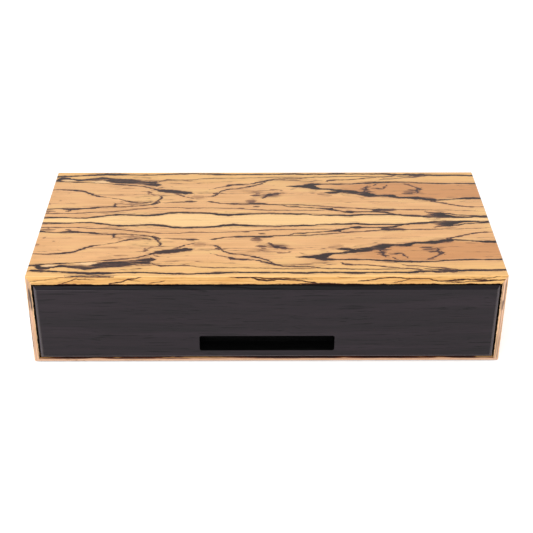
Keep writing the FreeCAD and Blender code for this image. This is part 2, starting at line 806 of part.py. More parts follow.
def side_wall(label, side):
    """The left (-1) or right (1) side of the drawer box, with dovetails at both ends."""
    wall = slide_body(label)
    side_slab(wall, side, "bay_half", "box_half", "box_front", "box_rear", "box_base", "box_top")

    def draw_gaps(sketch):
        for outer, inner in (("box_front", "well_front"), ("box_rear", "well_rear")):
            place = [f"{end} - rail_middle" for end in (outer, inner)]
            draw_outline(sketch, dovetail(*place, "box_base - slide_level", "pin_tip", "pin_root"))

    gaps = cut_between(wall, "YZ_Plane", *sided(side, "bay_half", "box_half"), draw_gaps)
    repeated(wall, [gaps], [("Z_Axis", "tail_count * tail_pitch", "tail_count + 1")])
    front, rear, base, top = slide_place(
        "well_front - groove_depth", "well_rear + groove_depth", "groove_base", "well_floor"
    )
    cut_between(
        wall,
        "YZ_Plane",
        *sided(side, "bay_half", "bay_half + groove_depth"),
        lambda sketch: draw_rectangle(sketch, (front, base), (rear, top)),
    )
    rail_holes(wall, sided(side, "bay_half + rail_screw_cover - screw_play", "box_half"))
    return wall


keep(end_wall("drawer_inner_front", "box_front", "well_front", -1), "drawer_inner_front")
keep(end_wall("drawer_back", "box_rear", "well_rear", 1), "drawer_back")
for side, name in ((-1, "left"), (1, "right")):
    keep(side_wall(f"drawer_{name}_side", side), f"drawer_{name}_side")

keep(
    block(
        "drawer_bottom",
        ("-bay_half - groove_depth + groove_play", "well_front - groove_depth + groove_play", "groove_base"),
        ("bay_half + groove_depth - groove_play", "well_rear + groove_depth - groove_play", "well_floor"),
    ),
    "drawer_bottom",
)

# The fixed partition stands in housings and lets damp air through its slots.
partition = add_body("bay_partition", "0", "well_middle", "0")
partition_reach = "(well_rear - well_front) / 2 + housing_depth - groove_play"
solid_between(
    partition,
    "YZ_Plane",
    "partition_left",
    "bay_left",
    lambda sketch: draw_rectangle(
        sketch, (minus(partition_reach), "well_floor"), (partition_reach, "box_top")
    ),
)
vent_start = "-vent_row / 2"
vent_level = "(well_floor + box_top) / 2"
vents = cut_between(
    partition,
    "YZ_Plane",
    "partition_left",
    "bay_left",
    lambda sketch: draw_rectangle(
        sketch,
        (f"{vent_start} - vent_width / 2", f"{vent_level} - vent_height / 2"),
        (f"{vent_start} + vent_width / 2", f"{vent_level} + vent_height / 2"),
    ),
)
repeated(partition, [vents], [("Y_Axis", "vent_row", "vent_count")])
keep(partition, "bay_partition")

# The movable divider stands between the inner front and the back.
divider = add_body("divider", "divider_middle", "well_middle", "divider_base")
divider_reach = "(well_rear - well_front) / 2 - divider_play"
solid_between(
    divider,
    "XY_Plane",
    "0",
    "divider_height",
    lambda sketch: draw_rectangle(
        sketch, ("-divider_wall / 2", minus(divider_reach)), ("divider_wall / 2", divider_reach)
    ),
)
divider_edge = number("divider_height")
dress(
    divider,
    "Fillet",
    "divider_round",
    lambda edge: runs_along(edge, 1) and abs(edge.BoundBox.ZMin - divider_edge) < 1e-6,
)
keep(divider, "divider")


# The ball slides. Places across a slide count from the lining: 0 there and slide_width at the drawer.
def across(side, place):
    return f"{side} * (lined_half - ({place}))"


def channel_outline(side, start, reach, half, lip):
    """A C-shaped rail: web at start, flanges out to reach, and lips turned in at their edges."""
    inside = f"{half} - sheet"
    tip = f"{half} - sheet - {lip}"
    return [
        (across(side, start), minus(half)),
        (across(side, reach), minus(half)),
        (across(side, reach), minus(tip)),
        (across(side, f"{reach} - sheet"), minus(tip)),
        (across(side, f"{reach} - sheet"), minus(inside)),
        (across(side, f"{start} + sheet"), minus(inside)),
        (across(side, f"{start} + sheet"), inside),
        (across(side, f"{reach} - sheet"), inside),
        (across(side, f"{reach} - sheet"), tip),
        (across(side, reach), tip),
        (across(side, reach), half),
        (across(side, start), half),
    ]


def inner_outline(side):
    """The inner rail: web against the drawer's side, flanges back towards the lining."""
    inside = "inner_half - sheet"
    return [
        (across(side, "inner_start"), "-inner_half"),
        (across(side, "slide_width"), "-inner_half"),
        (across(side, "slide_width"), "inner_half"),
        (across(side, "inner_start"), "inner_half"),
        (across(side, "inner_start"), inside),
        (across(side, "slide_width - sheet"), inside),
        (across(side, "slide_width - sheet"), minus(inside)),
        (across(side, "inner_start"), minus(inside)),
    ]


def rail(label, side, outline, web, tracks):
    """A rail with rounded bends beside its web and a pair of sunk ball tracks for each stage on it."""
    body = slide_body(label)
    ends = ("-rail_length / 2", "rail_length / 2")
    solid_between(body, "XZ_Plane", *ends, lambda sketch: draw_outline(sketch, outline))
    web_face = number(across(side, web))
    dress(
        body,
        "Fillet",
        "sheet",
        lambda edge: runs_along(edge, 1) and abs(edge.BoundBox.XMin - web_face) < 1e-6,
    )

    def draw_tracks(sketch):
        for track, row in tracks:
            draw_circle(sketch, across(side, track), row, "track_radius")
            draw_circle(sketch, across(side, track), minus(row), "track_radius")

    cut_between(body, "XZ_Plane", *ends, draw_tracks)
    return body


OUTER_TRACKS = ("outer_track", "outer_row")
INNER_TRACKS = ("inner_track", "inner_row")


def ball_cage(label, side, web, track, row):
    """A thin channel with a window for each ball of its upper and lower rows."""
    cage = slide_body(label)
    edge = f"{track} + cage_margin"
    outside = f"{row} + cage_sheet / 2"
    inside = f"{row} - cage_sheet / 2"
    outline = [
        (across(side, web), minus(outside)),
        (across(side, edge), minus(outside)),
        (across(side, edge), minus(inside)),
        (across(side, f"{web} + cage_sheet"), minus(inside)),
        (across(side, f"{web} + cage_sheet"), inside),
        (across(side, edge), inside),
        (across(side, edge), outside),
        (across(side, web), outside),
    ]
    solid_between(
        cage,
        "XZ_Plane",
        "-cage_length / 2",
        "cage_length / 2",
        lambda sketch: draw_outline(sketch, outline),
    )
    first = "-(ball_count - 1) * ball_pitch / 2"
    window = (
        (across(side, f"{track} - {side} * track_radius"), f"{first} - track_radius"),
        (across(side, f"{track} + {side} * track_radius"), f"{first} + track_radius"),
    )
    windows = cut_between(
        cage, "XY_Plane", minus(outside), outside, lambda sketch: draw_rectangle(sketch, *window)
    )
    repeated(cage, [windows], [("Y_Axis", "(ball_count - 1) * ball_pitch", "ball_count")])
    return cage


def ball_rows(label, side, track, row):
    """The balls of one cage, in an upper and a lower row: each a cube bevelled to 26 faces."""
    balls = slide_body(label)
    half = "ball_radius * cos(22.5 deg)"
    first = "-(ball_count - 1) * ball_pitch / 2"
    cube = solid_between(
        balls,
        "XY_Plane",
        f"{row} - {half}",
        f"{row} + {half}",
        lambda sketch: draw_rectangle(
            sketch,
            (f"{across(side, track)} - {half}", f"{first} - {half}"),
            (f"{across(side, track)} + {half}", f"{first} + {half}"),
        ),
    )
    repeated(balls, [cube], [("Y_Axis", "(ball_count - 1) * ball_pitch", "ball_count")], "XY_Plane")
    dress(balls, "Chamfer", f"{half} * (2 - sqrt(2))", lambda edge: True)
    return balls


for side, name in ((-1, "left"), (1, "right")):
    outer_outline = channel_outline(side, "0", "outer_reach", "outer_half", "outer_lip")
    outer_rail = rail(f"{name}_outer_rail", side, outer_outline, "0", [OUTER_TRACKS])
    rail_holes(outer_rail, sided(side, "lined_half - sheet", "lined_half"))
    keep(outer_rail, f"{name}_outer_rail")

    middle_outline = channel_outline(side, "middle_start", "middle_reach", "middle_half", "middle_lip")
    middle_rail = rail(
        f"{name}_middle_rail", side, middle_outline, "middle_start", [OUTER_TRACKS, INNER_TRACKS]
    )
    keep(middle_rail, f"{name}_middle_rail")

    inner_rail = rail(f"{name}_inner_rail", side, inner_outline(side), "slide_width", [INNER_TRACKS])
    rail_holes(inner_rail, sided(side, "box_half", "box_half + sheet"))
    keep(inner_rail, f"{name}_inner_rail")

    for stage, web, tracks in (
        ("outer", "sheet + outer_cage_gap", OUTER_TRACKS),
        ("inner", "middle_start + sheet + inner_cage_gap", INNER_TRACKS),
    ):
        keep(ball_cage(f"{name}_{stage}_cage", side, web, *tracks), f"{name}_{stage}_cage")
        keep(ball_rows(f"{name}_{stage}_balls", side, *tracks), f"{name}_{stage}_balls")


rail_screws(
    "outer_rail_screws",
    ("lined_half - sheet - rail_screw_rise", "lined_half - sheet"),
    ("lined_half - sheet", "inside_half - rail_screw_cover"),
)
rail_screws(
    "inner_rail_screws",
    ("box_half + sheet", "box_half + sheet + rail_screw_rise"),
    ("bay_half + rail_screw_cover", "box_half + sheet"),
)

front_screws = add_body("front_screws")
pieces = [
    front_stretch(front_screws, solid_between, FRONT_SCREW_SEAT, "well_front", "front_screw_head"),
    front_stretch(
        front_screws, solid_between, FRONT_SCREW_END, FRONT_SCREW_SEAT, "front_screw_shank"
    ),
]
front_row(front_screws, pieces)
keep(front_screws, "front_screws")

# The hygrometer block fills the front of the bay, with a bore that the instrument drops into.
meter_block = add_body("hygrometer_block")
solid_between(
    meter_block,
    "XY_Plane",
    "well_floor",
    "block_top",
    lambda sketch: draw_rectangle(sketch, ("bay_left", "well_front"), ("bay_half", "block_rear")),
)
cut_between(
    meter_block,
    "XY_Plane",
    "block_top - cup_depth - bore_spare",
    "block_top",
    lambda sketch: draw_circle(sketch, "bay_middle", "meter_middle", "cup_radius + cup_play"),
)
keep(meter_block, "hygrometer_block")


# The hygrometer. Each piece counts from the instrument's axis and from the face of the block.
def meter_piece(label, profile):
    """A round piece of the hygrometer, from its half section as (radius, height)."""
    piece = add_body(label, "bay_middle", "meter_middle", "block_top")
    turned(piece, "Revolution", "XZ_Plane", "V_Axis", profile)
    return piece


CUP_INSIDE = "cup_radius - cup_wall"
DIAL_BASE = "-dial_drop - dial_thickness"
CUP_FLOOR = "-cup_depth + cup_floor"
LEDGE_INSIDE = f"{CUP_INSIDE} - cup_step"
cup = meter_piece(
    "hygrometer_cup",
    [
        ("0", "-cup_depth"),
        ("cup_radius", "-cup_depth"),
        ("cup_radius", "cup_rise"),
        (CUP_INSIDE, "cup_rise"),
        (CUP_INSIDE, DIAL_BASE),
        (LEDGE_INSIDE, DIAL_BASE),
        (LEDGE_INSIDE, CUP_FLOOR),
        ("0", CUP_FLOOR),
    ],
)
keep(cup, "hygrometer_cup")

DIAL_RADIUS = f"{CUP_INSIDE} - dial_play"
dial = meter_piece(
    "hygrometer_dial",
    [
        ("dial_hole", DIAL_BASE),
        (DIAL_RADIUS, DIAL_BASE),
        (DIAL_RADIUS, "-dial_drop"),
        ("dial_hole", "-dial_drop"),
    ],
)
keep(dial, "hygrometer_dial")

glass = meter_piece(
    "hygrometer_glass",
    [
        ("0", "cup_rise"),
        ("cup_radius - glass_play", "cup_rise"),
        ("cup_radius - glass_play", "glass_top"),
        ("0", "glass_top"),
    ],
)
keep(glass, "hygrometer_glass")

bezel = meter_piece(
    "hygrometer_bezel",
    [
        ("cup_radius", "0"),
        ("bezel_radius", "0"),
        ("bezel_radius", "bezel_top - bezel_ease"),
        ("bezel_radius - bezel_ease", "bezel_top"),
        ("cup_radius - bezel_cover", "bezel_top"),
        ("cup_radius - bezel_cover", "glass_top"),
        ("cup_radius", "glass_top"),
    ],
)
keep(bezel, "hygrometer_bezel")

spindle = meter_piece(
    "hygrometer_spindle",
    [
        ("0", f"{CUP_FLOOR} + spindle_end"),
        ("spindle_radius", f"{CUP_FLOOR} + spindle_end"),
        ("spindle_radius", "-dial_drop + needle_rise"),
        ("0", "-dial_drop + needle_rise"),
    ],
)
keep(spindle, "hygrometer_spindle")

# The needle is a long thin kite with a round cap over the spindle, turned to its reading.
needle = add_body("hygrometer_needle", "bay_middle", "meter_middle", "block_top - dial_drop + needle_rise")
needle.setExpression(".Placement.Rotation.Angle", bound("-reading"))
solid_between(
    needle,
    "XY_Plane",
    "0",
    "needle_thickness",
    lambda sketch: draw_outline(
        sketch,
        [
            ("-needle_half", "0"),
            ("-needle_half / 2", "-needle_tail"),
            ("needle_half / 2", "-needle_tail"),
            ("needle_half", "0"),
            ("0", "needle_length"),
        ],
    ),
)
solid_between(
    needle,
    "XY_Plane",
    "0",
    "hub_height",
    lambda sketch: draw_circle(sketch, "0", "0", "hub_radius"),
)
keep(needle, "hygrometer_needle")


# The humidity coil is a flat spiral strip on edge, in short straight runs.
def spiral(offset):
    """The corners of a spiral that moves out by one pitch in each turn, shifted out by offset."""
    runs = int(number("coil_runs"))
    corners = []
    for index in range(int(number("coil_turns")) * runs + 1):
        angle = 2 * math.pi * index / runs
        radius = number("coil_start") + number("coil_pitch") * index / runs + offset
        corners.append(FreeCAD.Vector(radius * math.cos(angle), radius * math.sin(angle), 0))
    return corners


half_strip = number("coil_strip") / 2
strip_corners = spiral(-half_strip) + spiral(half_strip)[::-1]
strip_face = Part.Face(Part.makePolygon(strip_corners + strip_corners[:1]))
coil = doc.addObject("Part::Feature", "humidity_coil")
coil.Shape = strip_face.extrude(FreeCAD.Vector(0, 0, number("coil_height")))
coil.Placement.Base = FreeCAD.Vector(
    number("bay_middle"), number("meter_middle"), number(f"block_top + {CUP_FLOOR} + coil_raise")
)
keep(coil, "humidity_coil")

# The post stands on the cup's floor beside the coil's outer end.
post = doc.addObject("Part::Cylinder", "coil_post")
post.setExpression("Radius", bound("post_radius"))
post.setExpression("Height", bound("coil_raise + coil_height"))
post.setExpression(".Placement.Base.x", bound("bay_middle + coil_start + coil_turns * coil_pitch"))
post.setExpression(".Placement.Base.y", bound("meter_middle + post_radius + coil_gap"))
post.setExpression(".Placement.Base.z", bound(f"block_top + {CUP_FLOOR}"))
keep(post, "coil_post")


# The humidifier: a tray with rounded corners, the foam that holds its water, and a slotted cover.
def tray_piece(label, height="0"):
    return add_body(label, "bay_middle", "tray_middle", f"well_floor + {height}")


def tray_outline(inset):
    return lambda sketch: draw_rounded_rectangle(
        sketch, f"tray_width / 2 - {inset}", f"tray_length / 2 - {inset}", f"tray_corner - {inset}"
    )


tray = tray_piece("humidifier_tray")
solid_between(tray, "XY_Plane", "0", "tray_height", tray_outline("0"))
cut_between(tray, "XY_Plane", "tray_wall", "tray_height", tray_outline("tray_wall"))
keep(tray, "humidifier_tray")

foam = tray_piece("humidifier_foam", "tray_wall")
solid_between(foam, "XY_Plane", "0", "foam_height", tray_outline("(tray_wall + foam_play)"))
keep(foam, "humidifier_foam")

cover = tray_piece("humidifier_cover", "tray_height")
solid_between(cover, "XY_Plane", "0", "cover_thickness", tray_outline("0"))
cover_top = number("cover_thickness")
dress(cover, "Chamfer", "cover_ease", lambda edge: abs(edge.BoundBox.ZMin - cover_top) < 1e-6)


def draw_spigot(sketch):
    for inset in ("tray_wall + spigot_play", "tray_wall + spigot_play + spigot_wall"):
        corner = (f"tray_width / 2 - ({inset})", f"tray_length / 2 - ({inset})")
        draw_rectangle(sketch, (minus(corner[0]), minus(corner[1])), corner)


solid_between(cover, "XY_Plane", "-spigot_depth", "0", draw_spigot)
slot_start = "-cover_slot_row / 2"
slots = cut_between(
    cover,
    "XY_Plane",
    "0",
    "cover_thickness",
    lambda sketch: draw_rectangle(
        sketch,
        ("-cover_slot_half", f"{slot_start} - cover_slot_width / 2"),
        ("cover_slot_half", f"{slot_start} + cover_slot_width / 2"),
    ),
)
repeated(cover, [slots], [("Y_Axis", "cover_slot_row", "cover_slots")])
keep(cover, "humidifier_cover")

doc.recompute()

failed = [thing.Name for thing in doc.Objects if {"Invalid", "Error"} & set(thing.State)]
if failed:
    raise ValueError(f"these did not build: {failed}")
for piece in nodes:
    if piece.Shape.isNull() or not piece.Shape.isValid() or not piece.Shape.Solids:
        raise ValueError(f"{piece.Label} is not a sound solid")

os.makedirs("parts", exist_ok=True)
for piece in nodes:
    piece.Shape.exportStep(f"parts/{piece.Label}.step")
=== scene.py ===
"""Cigar humidor with one drawer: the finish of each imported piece, and the pieces that take a finer form.

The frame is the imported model's own, in metres: +Z up, the front towards -Y, the origin under the case's
middle. Patterns and new surfaces are worked out in millimetres.
"""

import math

import bmesh
import bpy
import numpy as np
from mathutils import Matrix, Vector


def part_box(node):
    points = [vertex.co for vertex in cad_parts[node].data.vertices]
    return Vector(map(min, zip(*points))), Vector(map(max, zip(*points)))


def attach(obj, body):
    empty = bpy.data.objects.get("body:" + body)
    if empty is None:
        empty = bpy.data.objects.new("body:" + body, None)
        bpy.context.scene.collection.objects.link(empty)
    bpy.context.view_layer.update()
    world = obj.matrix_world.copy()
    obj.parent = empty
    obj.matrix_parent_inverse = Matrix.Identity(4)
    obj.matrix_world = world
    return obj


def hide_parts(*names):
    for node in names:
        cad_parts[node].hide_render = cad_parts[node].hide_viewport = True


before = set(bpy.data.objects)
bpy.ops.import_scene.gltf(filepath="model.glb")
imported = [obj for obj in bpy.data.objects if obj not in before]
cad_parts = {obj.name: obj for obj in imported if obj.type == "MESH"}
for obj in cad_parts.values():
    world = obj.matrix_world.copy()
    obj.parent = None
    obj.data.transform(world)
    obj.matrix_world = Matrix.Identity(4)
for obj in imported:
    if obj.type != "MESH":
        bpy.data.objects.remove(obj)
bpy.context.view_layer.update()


# The boards of the case: birch-faced boards, mitred at the corners and glued, under the veneer
# and behind the cedar. Only their edges could ever show.

MM = 0.001  # m


def linear(code):
    """An sRGB hex colour as linear red, green and blue, with full alpha."""
    parts = [int(code[i : i + 2], 16) / 255 for i in (1, 3, 5)]
    return [p / 12.92 if p <= 0.04045 else ((p + 0.055) / 1.055) ** 2.4 for p in parts] + [1.0]


def feed(node, *inputs, **named):
    """Joins or sets a node's inputs, in their order or by name. A hex colour is turned to linear."""
    named = {name.replace("_", " "): value for name, value in named.items()}
    for key, value in [*enumerate(inputs), *named.items()]:
        if isinstance(value, bpy.types.NodeSocket):
            node.id_data.links.new(value, node.inputs[key])
        else:
            node.inputs[key].default_value = linear(value) if isinstance(value, str) else value


def add(kind, *inputs, tree=None, clamp=False, group=None, stops=(), courses=(), **named):
    """Adds a node to the tree that its inputs come from, and gives back its first output.

    kind is the node's type and its operation. stops are the places and colours of a colour ramp, and
    courses the points of a curve node.
    """
    kind, _, operation = kind.partition(" ")
    joined = (value for value in (*inputs, *named.values()) if isinstance(value, bpy.types.NodeSocket))
    node = (tree or next(joined).id_data).nodes.new("ShaderNode" + kind)
    for name, value in (("operation", operation), ("use_clamp", clamp), ("node_tree", group)):
        if value:
            setattr(node, name, value)
    feed(node, *inputs, **named)
    for number, (place, colour) in enumerate(stops):
        elements = node.color_ramp.elements
        element = elements[number] if number < 2 else elements.new(place)
        element.position, element.color = place, linear(colour)
    if courses:
        for curve, points in zip(node.mapping.curves, courses):
            curve.points[0].location, curve.points[1].location = points[0], points[-1]
            for point in points[1:-1]:
                curve.points.new(*point)
            for point in curve.points:
                point.handle_type = "VECTOR"
        node.mapping.update()
    return node.outputs[0]


def start(name, roughness, **settings):
    """A new material, its shader, and the place on the object in millimetres."""
    material = bpy.data.materials.new(name)
    material.use_nodes = True
    shader = material.node_tree.nodes["Principled BSDF"]
    feed(shader, Roughness=roughness, **settings)
    place = add("TexCoord", tree=material.node_tree).node.outputs["Object"]
    return material, shader, add("VectorMath SCALE", place, Scale=1 / MM)


def grain(place, *cell, detail=3.0, roughness=0.5):
    """A cloudy pattern from 0 to 1, drawn out to cells of the given size in millimetres."""
    place = add("VectorMath MULTIPLY", place, [1 / size for size in cell])
    return add("TexNoise", Vector=place, Scale=1.0, Detail=detail, Roughness=roughness)


def lay_on(material, *nodes):
    """Gives CAD nodes their finish through their own material slots."""
    for node in nodes:
        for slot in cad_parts[node].material_slots:
            slot.material = material


# Sanded plywood: matt and pale, with level stripes where the darker plies end.
PLY = 1.4  # mm, the thickness of one ply
board, shader, place = start("birch_ply_sanded", 0.6)
plies = grain(place, 50, 50, PLY)
feed(shader, Base_Color=add("ValToRGB", plies, stops=[(0.35, "#C9A274"), (0.65, "#E3C698")]))
lay_on(board, "top_board", "bottom_board", "left_board", "right_board", "back_board")


# The veneer: thin leaves of pale ebony with ink-like veins, cut one after the other from one log.
# The two top leaves are opened like a book, so the veins of one mirror those of the other, and
# the whole case is lacquered to a soft gloss.

HALF = 200.0  # mm, half the length of a leaf
SPAN = 100.0  # mm, a little more than a leaf's width

# Each vein: how dark it is, and its course as (along, across, half its width) in millimetres from
# the middle of the leaf and from the book joint.
VEINS = {
    "pale band": (1, [
        (-200, 5.2, 1), (-178, 5.5, 0.8), (-166, 4, 0.6), (-157, 4, 0.7), (-148, 6, 1), (-138, 8.8, 1),
        (-130, 10, 1.1), (-114, 9.3, 0.8), (-104, 8.2, 1.2), (-92, 9.6, 1.3), (-84, 12.6, 1.2),
        (-74, 13.9, 1.1), (-58, 12.8, 0.8), (-45, 12, 1.2), (-39, 9.8, 1.3), (-30, 8.6, 1.6),
        (-20, 9.7, 1.3), (-5, 10.9, 0.8), (12, 11.1, 0.7), (28, 10.2, 1.1), (42, 9.6, 0.8), (48, 8, 0.7),
        (70, 7.5, 1), (80, 7, 1.3), (90, 8.2, 1), (116, 8.5, 0.7), (124, 8.2, 1), (134, 5.9, 0.7),
        (146, 4.8, 0.7), (150, 5.2, 2.2), (158, 6, 3.6), (165, 6.2, 3.4), (170, 4.4, 1.8), (176, 3, 1.1),
        (188, 3.2, 0.8), (194, 4.6, 1.1), (200, 3.2, 1)]),
    "far thread": (0.92, [
        (148, 12, 0), (152, 12, 0.3), (165, 10.8, 0.8), (172, 9.2, 0.8), (179, 7, 0.6), (188, 6.2, 0.6),
        (200, 5.4, 0.7)]),
    "brown thread": (0.68, [
        (-200, 13.2, 0.57), (-170, 13.2, 0.46), (-150, 15, 0.46), (-128, 16.8, 0.69), (-114, 20.2, 0.57),
        (-97, 23.6, 0.46), (-75, 23.8, 0.34), (-68, 22.3, 0.46), (-40, 22.6, 0.34), (-18, 20.6, 0.46),
        (5, 17.6, 0.46), (30, 17.3, 0.34), (50, 17, 0.46), (60, 16.4, 0), (118, 16, 0), (124, 17.8, 0.46),
        (140, 17.4, 0.57), (160, 17.4, 0.34), (186, 15.8, 0.34), (200, 14, 0)]),
    "grey band": (0.9, [
        (-200, 20, 1.08), (-192, 21, 0.86), (-184, 22.2, 0.5), (-177, 21.4, 1.15), (-168, 20.8, 1.44),
        (-160, 22.2, 0.65), (-152, 23.4, 1.08), (-146, 24.4, 0.58), (-138, 25.4, 0.72), (-131, 25.4, 0.58),
        (-120, 25.6, 0.36), (-112, 27.2, 0.36), (-101, 29.6, 0.58), (-96, 32, 0.86), (-93, 33, 0),
        (-88, 32.8, 0.22), (-74, 33.8, 0.58), (-62, 35, 0.58), (-58, 35.6, 0)]),
    "bay line": (0.85, [
        (-200, 59, 0.44), (-186, 59.4, 0.66), (-174, 58.2, 0.99), (-166, 56.2, 0.88), (-160, 52, 1.32),
        (-152, 46.4, 1.1), (-142, 44, 0.22), (-130, 40.2, 0.33), (-120, 34.8, 0.99), (-111, 32.2, 0.33),
        (-103, 33.2, 0.77), (-98, 36, 0)]),
    "middle vein": (0.97, [
        (-50, 35, 0), (-46, 34.4, 0.85), (-38, 31.6, 0.47), (-28, 30, 0.76), (-14, 29.8, 0.85),
        (0, 30.6, 1.04), (8, 28.9, 0.76), (19, 27.8, 0.57), (24, 24.8, 0.57), (40, 22.6, 0.38),
        (54, 20.6, 0.47), (61, 19.4, 1.33), (67, 17.4, 0.85), (75, 14.2, 0.76), (81, 12.9, 1.14),
        (88, 14, 0.66), (102, 13.9, 0.85), (112, 12.8, 0.95), (120, 9.6, 0.76), (128, 8, 0)]),
    "under thread": (0.72, [
        (12, 28.6, 0), (22, 28, 0.48), (38, 27.6, 0.48), (50, 26, 0.6), (62, 24.4, 0.6), (70, 22.6, 0.6),
        (84, 21.4, 0.48), (100, 18.6, 0.72), (106, 16.8, 1.8), (114, 17, 1.56), (121, 17.4, 1.44),
        (128, 18, 0)]),
    "ring edge": (0.92, [
        (-200, 77.8, 0.95), (-192, 77.4, 0.95), (-186, 75.8, 0.47), (-176, 75.4, 0.76), (-162, 74.4, 0.28),
        (-148, 72.2, 0.38), (-134, 69.4, 0.47), (-120, 67.2, 0.57), (-110, 65.6, 0.57), (-102, 61.8, 0.66),
        (-98, 59.2, 0.85), (-95, 57.2, 1.71), (-89, 56.2, 2.28), (-79, 54.2, 2.47), (-71, 53.2, 1.9),
        (-65, 52.4, 1.61), (-61, 52.2, 0)]),
    "ink patch": (1, [
        (-197, 78.4, 0), (-193, 80.4, 1.29), (-189, 82.6, 1.66), (-184, 82.8, 0.92), (-179, 81, 0.83),
        (-174, 79.2, 1.38), (-165, 80.2, 1.29), (-156, 81.6, 2.02), (-149, 82, 2.39), (-143, 79, 3.31),
        (-137, 77, 4.05), (-126, 76.6, 3.86), (-117, 75, 3.31), (-108, 72.6, 3.13), (-101, 70.8, 3.5),
        (-96, 69.4, 1.47), (-92, 69, 0)]),
    "low thread": (0.74, [
        (-100, 73.8, 0), (-96, 76, 0.84), (-89, 79.3, 0.96), (-78, 78.8, 0.48), (-68, 78.8, 0.48),
        (-58, 80.8, 0.36), (-42, 82.2, 0.48), (-20, 82.2, 0.24), (10, 83.8, 0.36), (30, 84.6, 0.24),
        (44, 84.4, 0)]),
    "eye line": (0.82, [
        (-54, 44, 0), (-46, 44.8, 0.42), (-41, 48, 1.47), (-38, 54.4, 0.84), (-32, 58.6, 0.95),
        (-24, 60.6, 0.42), (-16, 62.4, 0.73), (-7, 66, 0.63), (1, 70.4, 0.95), (6, 77, 1.16),
        (14, 79.8, 0.63), (34, 80.6, 0.53), (46, 83.8, 0.53), (66, 84.6, 0.53), (88, 85.4, 0.53),
        (110, 85, 0.42), (124, 84.8, 0)]),
    "eye shadow": (0.82, [
        (-50, 57.6, 0), (-42, 61.8, 0.4), (-34, 64.8, 0.5), (-30, 67.2, 1.6), (-24, 69, 0.7),
        (-10, 69.4, 0.5), (-2, 73.2, 0.9), (4, 76.4, 0.9), (8, 78, 0)]),
    "fork": (1, [
        (24, 65, 0), (30, 65, 0.96), (38, 65, 1.74), (44, 65, 3.27), (49, 63.8, 4.04), (53, 61, 2.51),
        (57, 59.2, 1.06), (64, 58.6, 0.86), (70, 57, 1.55), (77, 54.4, 2.51), (86, 52.4, 2.89),
        (94, 49.8, 3.08), (100, 48, 3.85), (105, 46, 2.31), (110, 44.9, 0.86), (116, 45, 1.64),
        (122, 44.4, 1.74), (128, 41.4, 1.15), (137, 41, 1.06), (143, 40.2, 2.12), (150, 39.2, 2.22),
        (157, 37.4, 2.12), (161, 36.6, 1.93), (164, 36.6, 0.86), (172, 37.4, 0.58), (182, 38.2, 0.67),
        (187, 39.4, 1.44), (200, 39.5, 1.55)]),
    "fork tail": (0.95, [
        (42, 67.4, 0.43), (47, 68.2, 1.94), (53, 68.9, 1.08), (60, 69.2, 0.65), (75, 69.2, 0.97),
        (86, 69.8, 0.54), (98, 71, 0.97), (110, 72.4, 1.19), (128, 73, 1.08), (141, 72.9, 0.65),
        (150, 71.2, 0.65), (164, 70.4, 0.65), (173, 69.7, 0.97), (182, 69.9, 0.65), (200, 69.3, 0.97)]),
    "chip": (1, [
        (59, 51.2, 0), (63, 51.4, 1.5), (71, 52.4, 1.9), (76, 53.4, 1.2), (86, 53, 0.8), (90, 52, 0)]),
    "branch": (0.72, [
        (156, 33.8, 0), (161, 32.4, 0.53), (172, 28.4, 0.73), (181, 24.8, 0.63), (189, 22.8, 0.53),
        (200, 22.8, 0.32)]),
    "rim threads": (0.68, [
        (62, 73.6, 0), (65, 77, 1.08), (76, 77.8, 0.48), (90, 79.2, 0.48), (102, 81.8, 0.6),
        (116, 83.6, 0.48), (128, 85.8, 0.96), (132, 86.4, 0)]),
    "rim thread": (0.62, [
        (112, 76.6, 0), (117, 79, 0.6), (130, 80.6, 0.48), (142, 82.6, 0.48), (150, 84, 0.72),
        (158, 85.8, 0.72), (164, 87, 0)]),
    "rim vein": (0.97, [
        (-200, 86.4, 0), (-194, 86.4, 1.3), (-184, 87.4, 0.9), (-172, 88.6, 0.9), (-160, 90, 1.3),
        (-146, 91, 1.4), (-134, 91, 1.3), (-126, 89.8, 0.7), (-104, 89.7, 0.8), (-88, 91.1, 0.9),
        (-66, 92.2, 0.8), (-50, 91.4, 0.8), (-42, 90.9, 1.4), (-26, 90, 0.8), (-8, 90.2, 0.7),
        (16, 90.4, 0.7), (33, 90.8, 1), (42, 90, 0.8), (62, 90.2, 0.8), (70, 91.2, 1.4), (80, 91, 0.9),
        (104, 90.2, 0.7), (122, 90.3, 1.2), (128, 88.7, 1.1), (150, 88.4, 0.8), (160, 88, 1.2),
        (170, 87, 1.2), (186, 87, 1.1), (200, 86.5, 0.9)]),
}
# Veins that cross the grain so steeply that their course runs the other way: (across, along, half width).
CROSS_VEINS = {
    "hook": (0.85, [(24, -134.5, 0.4), (28, -133.2, 0.7), (31, -133.4, 0.6), (34, -134, 0)]),
    "bend": (0.75, [
        (28, -100, 0.5), (32, -97, 1.1), (36, -95.4, 0.7), (40, -92.6, 0.8), (43, -92, 1), (46, -93.4, 0.7),
        (48, -94, 0)]),
    "stem": (0.68, [(40, -60, 0), (42, -64, 0.9), (45, -71, 1), (48, -76, 0.9), (50, -78, 0)]),
    "knot bow": (0.72, [
        (49, 146, 0), (52, 147.5, 1.1), (56, 147, 0.9), (60, 149, 1.2), (63, 145.6, 0.9), (66, 140.6, 0.7),
        (69, 137, 0.7), (71, 135, 0)]),
    "knot edge": (0.75, [
        (52, 96, 0), (55, 97.4, 0.9), (59, 99.4, 0.7), (62, 98.6, 0.8), (65, 101.2, 0.7), (68, 103, 0)]),
}
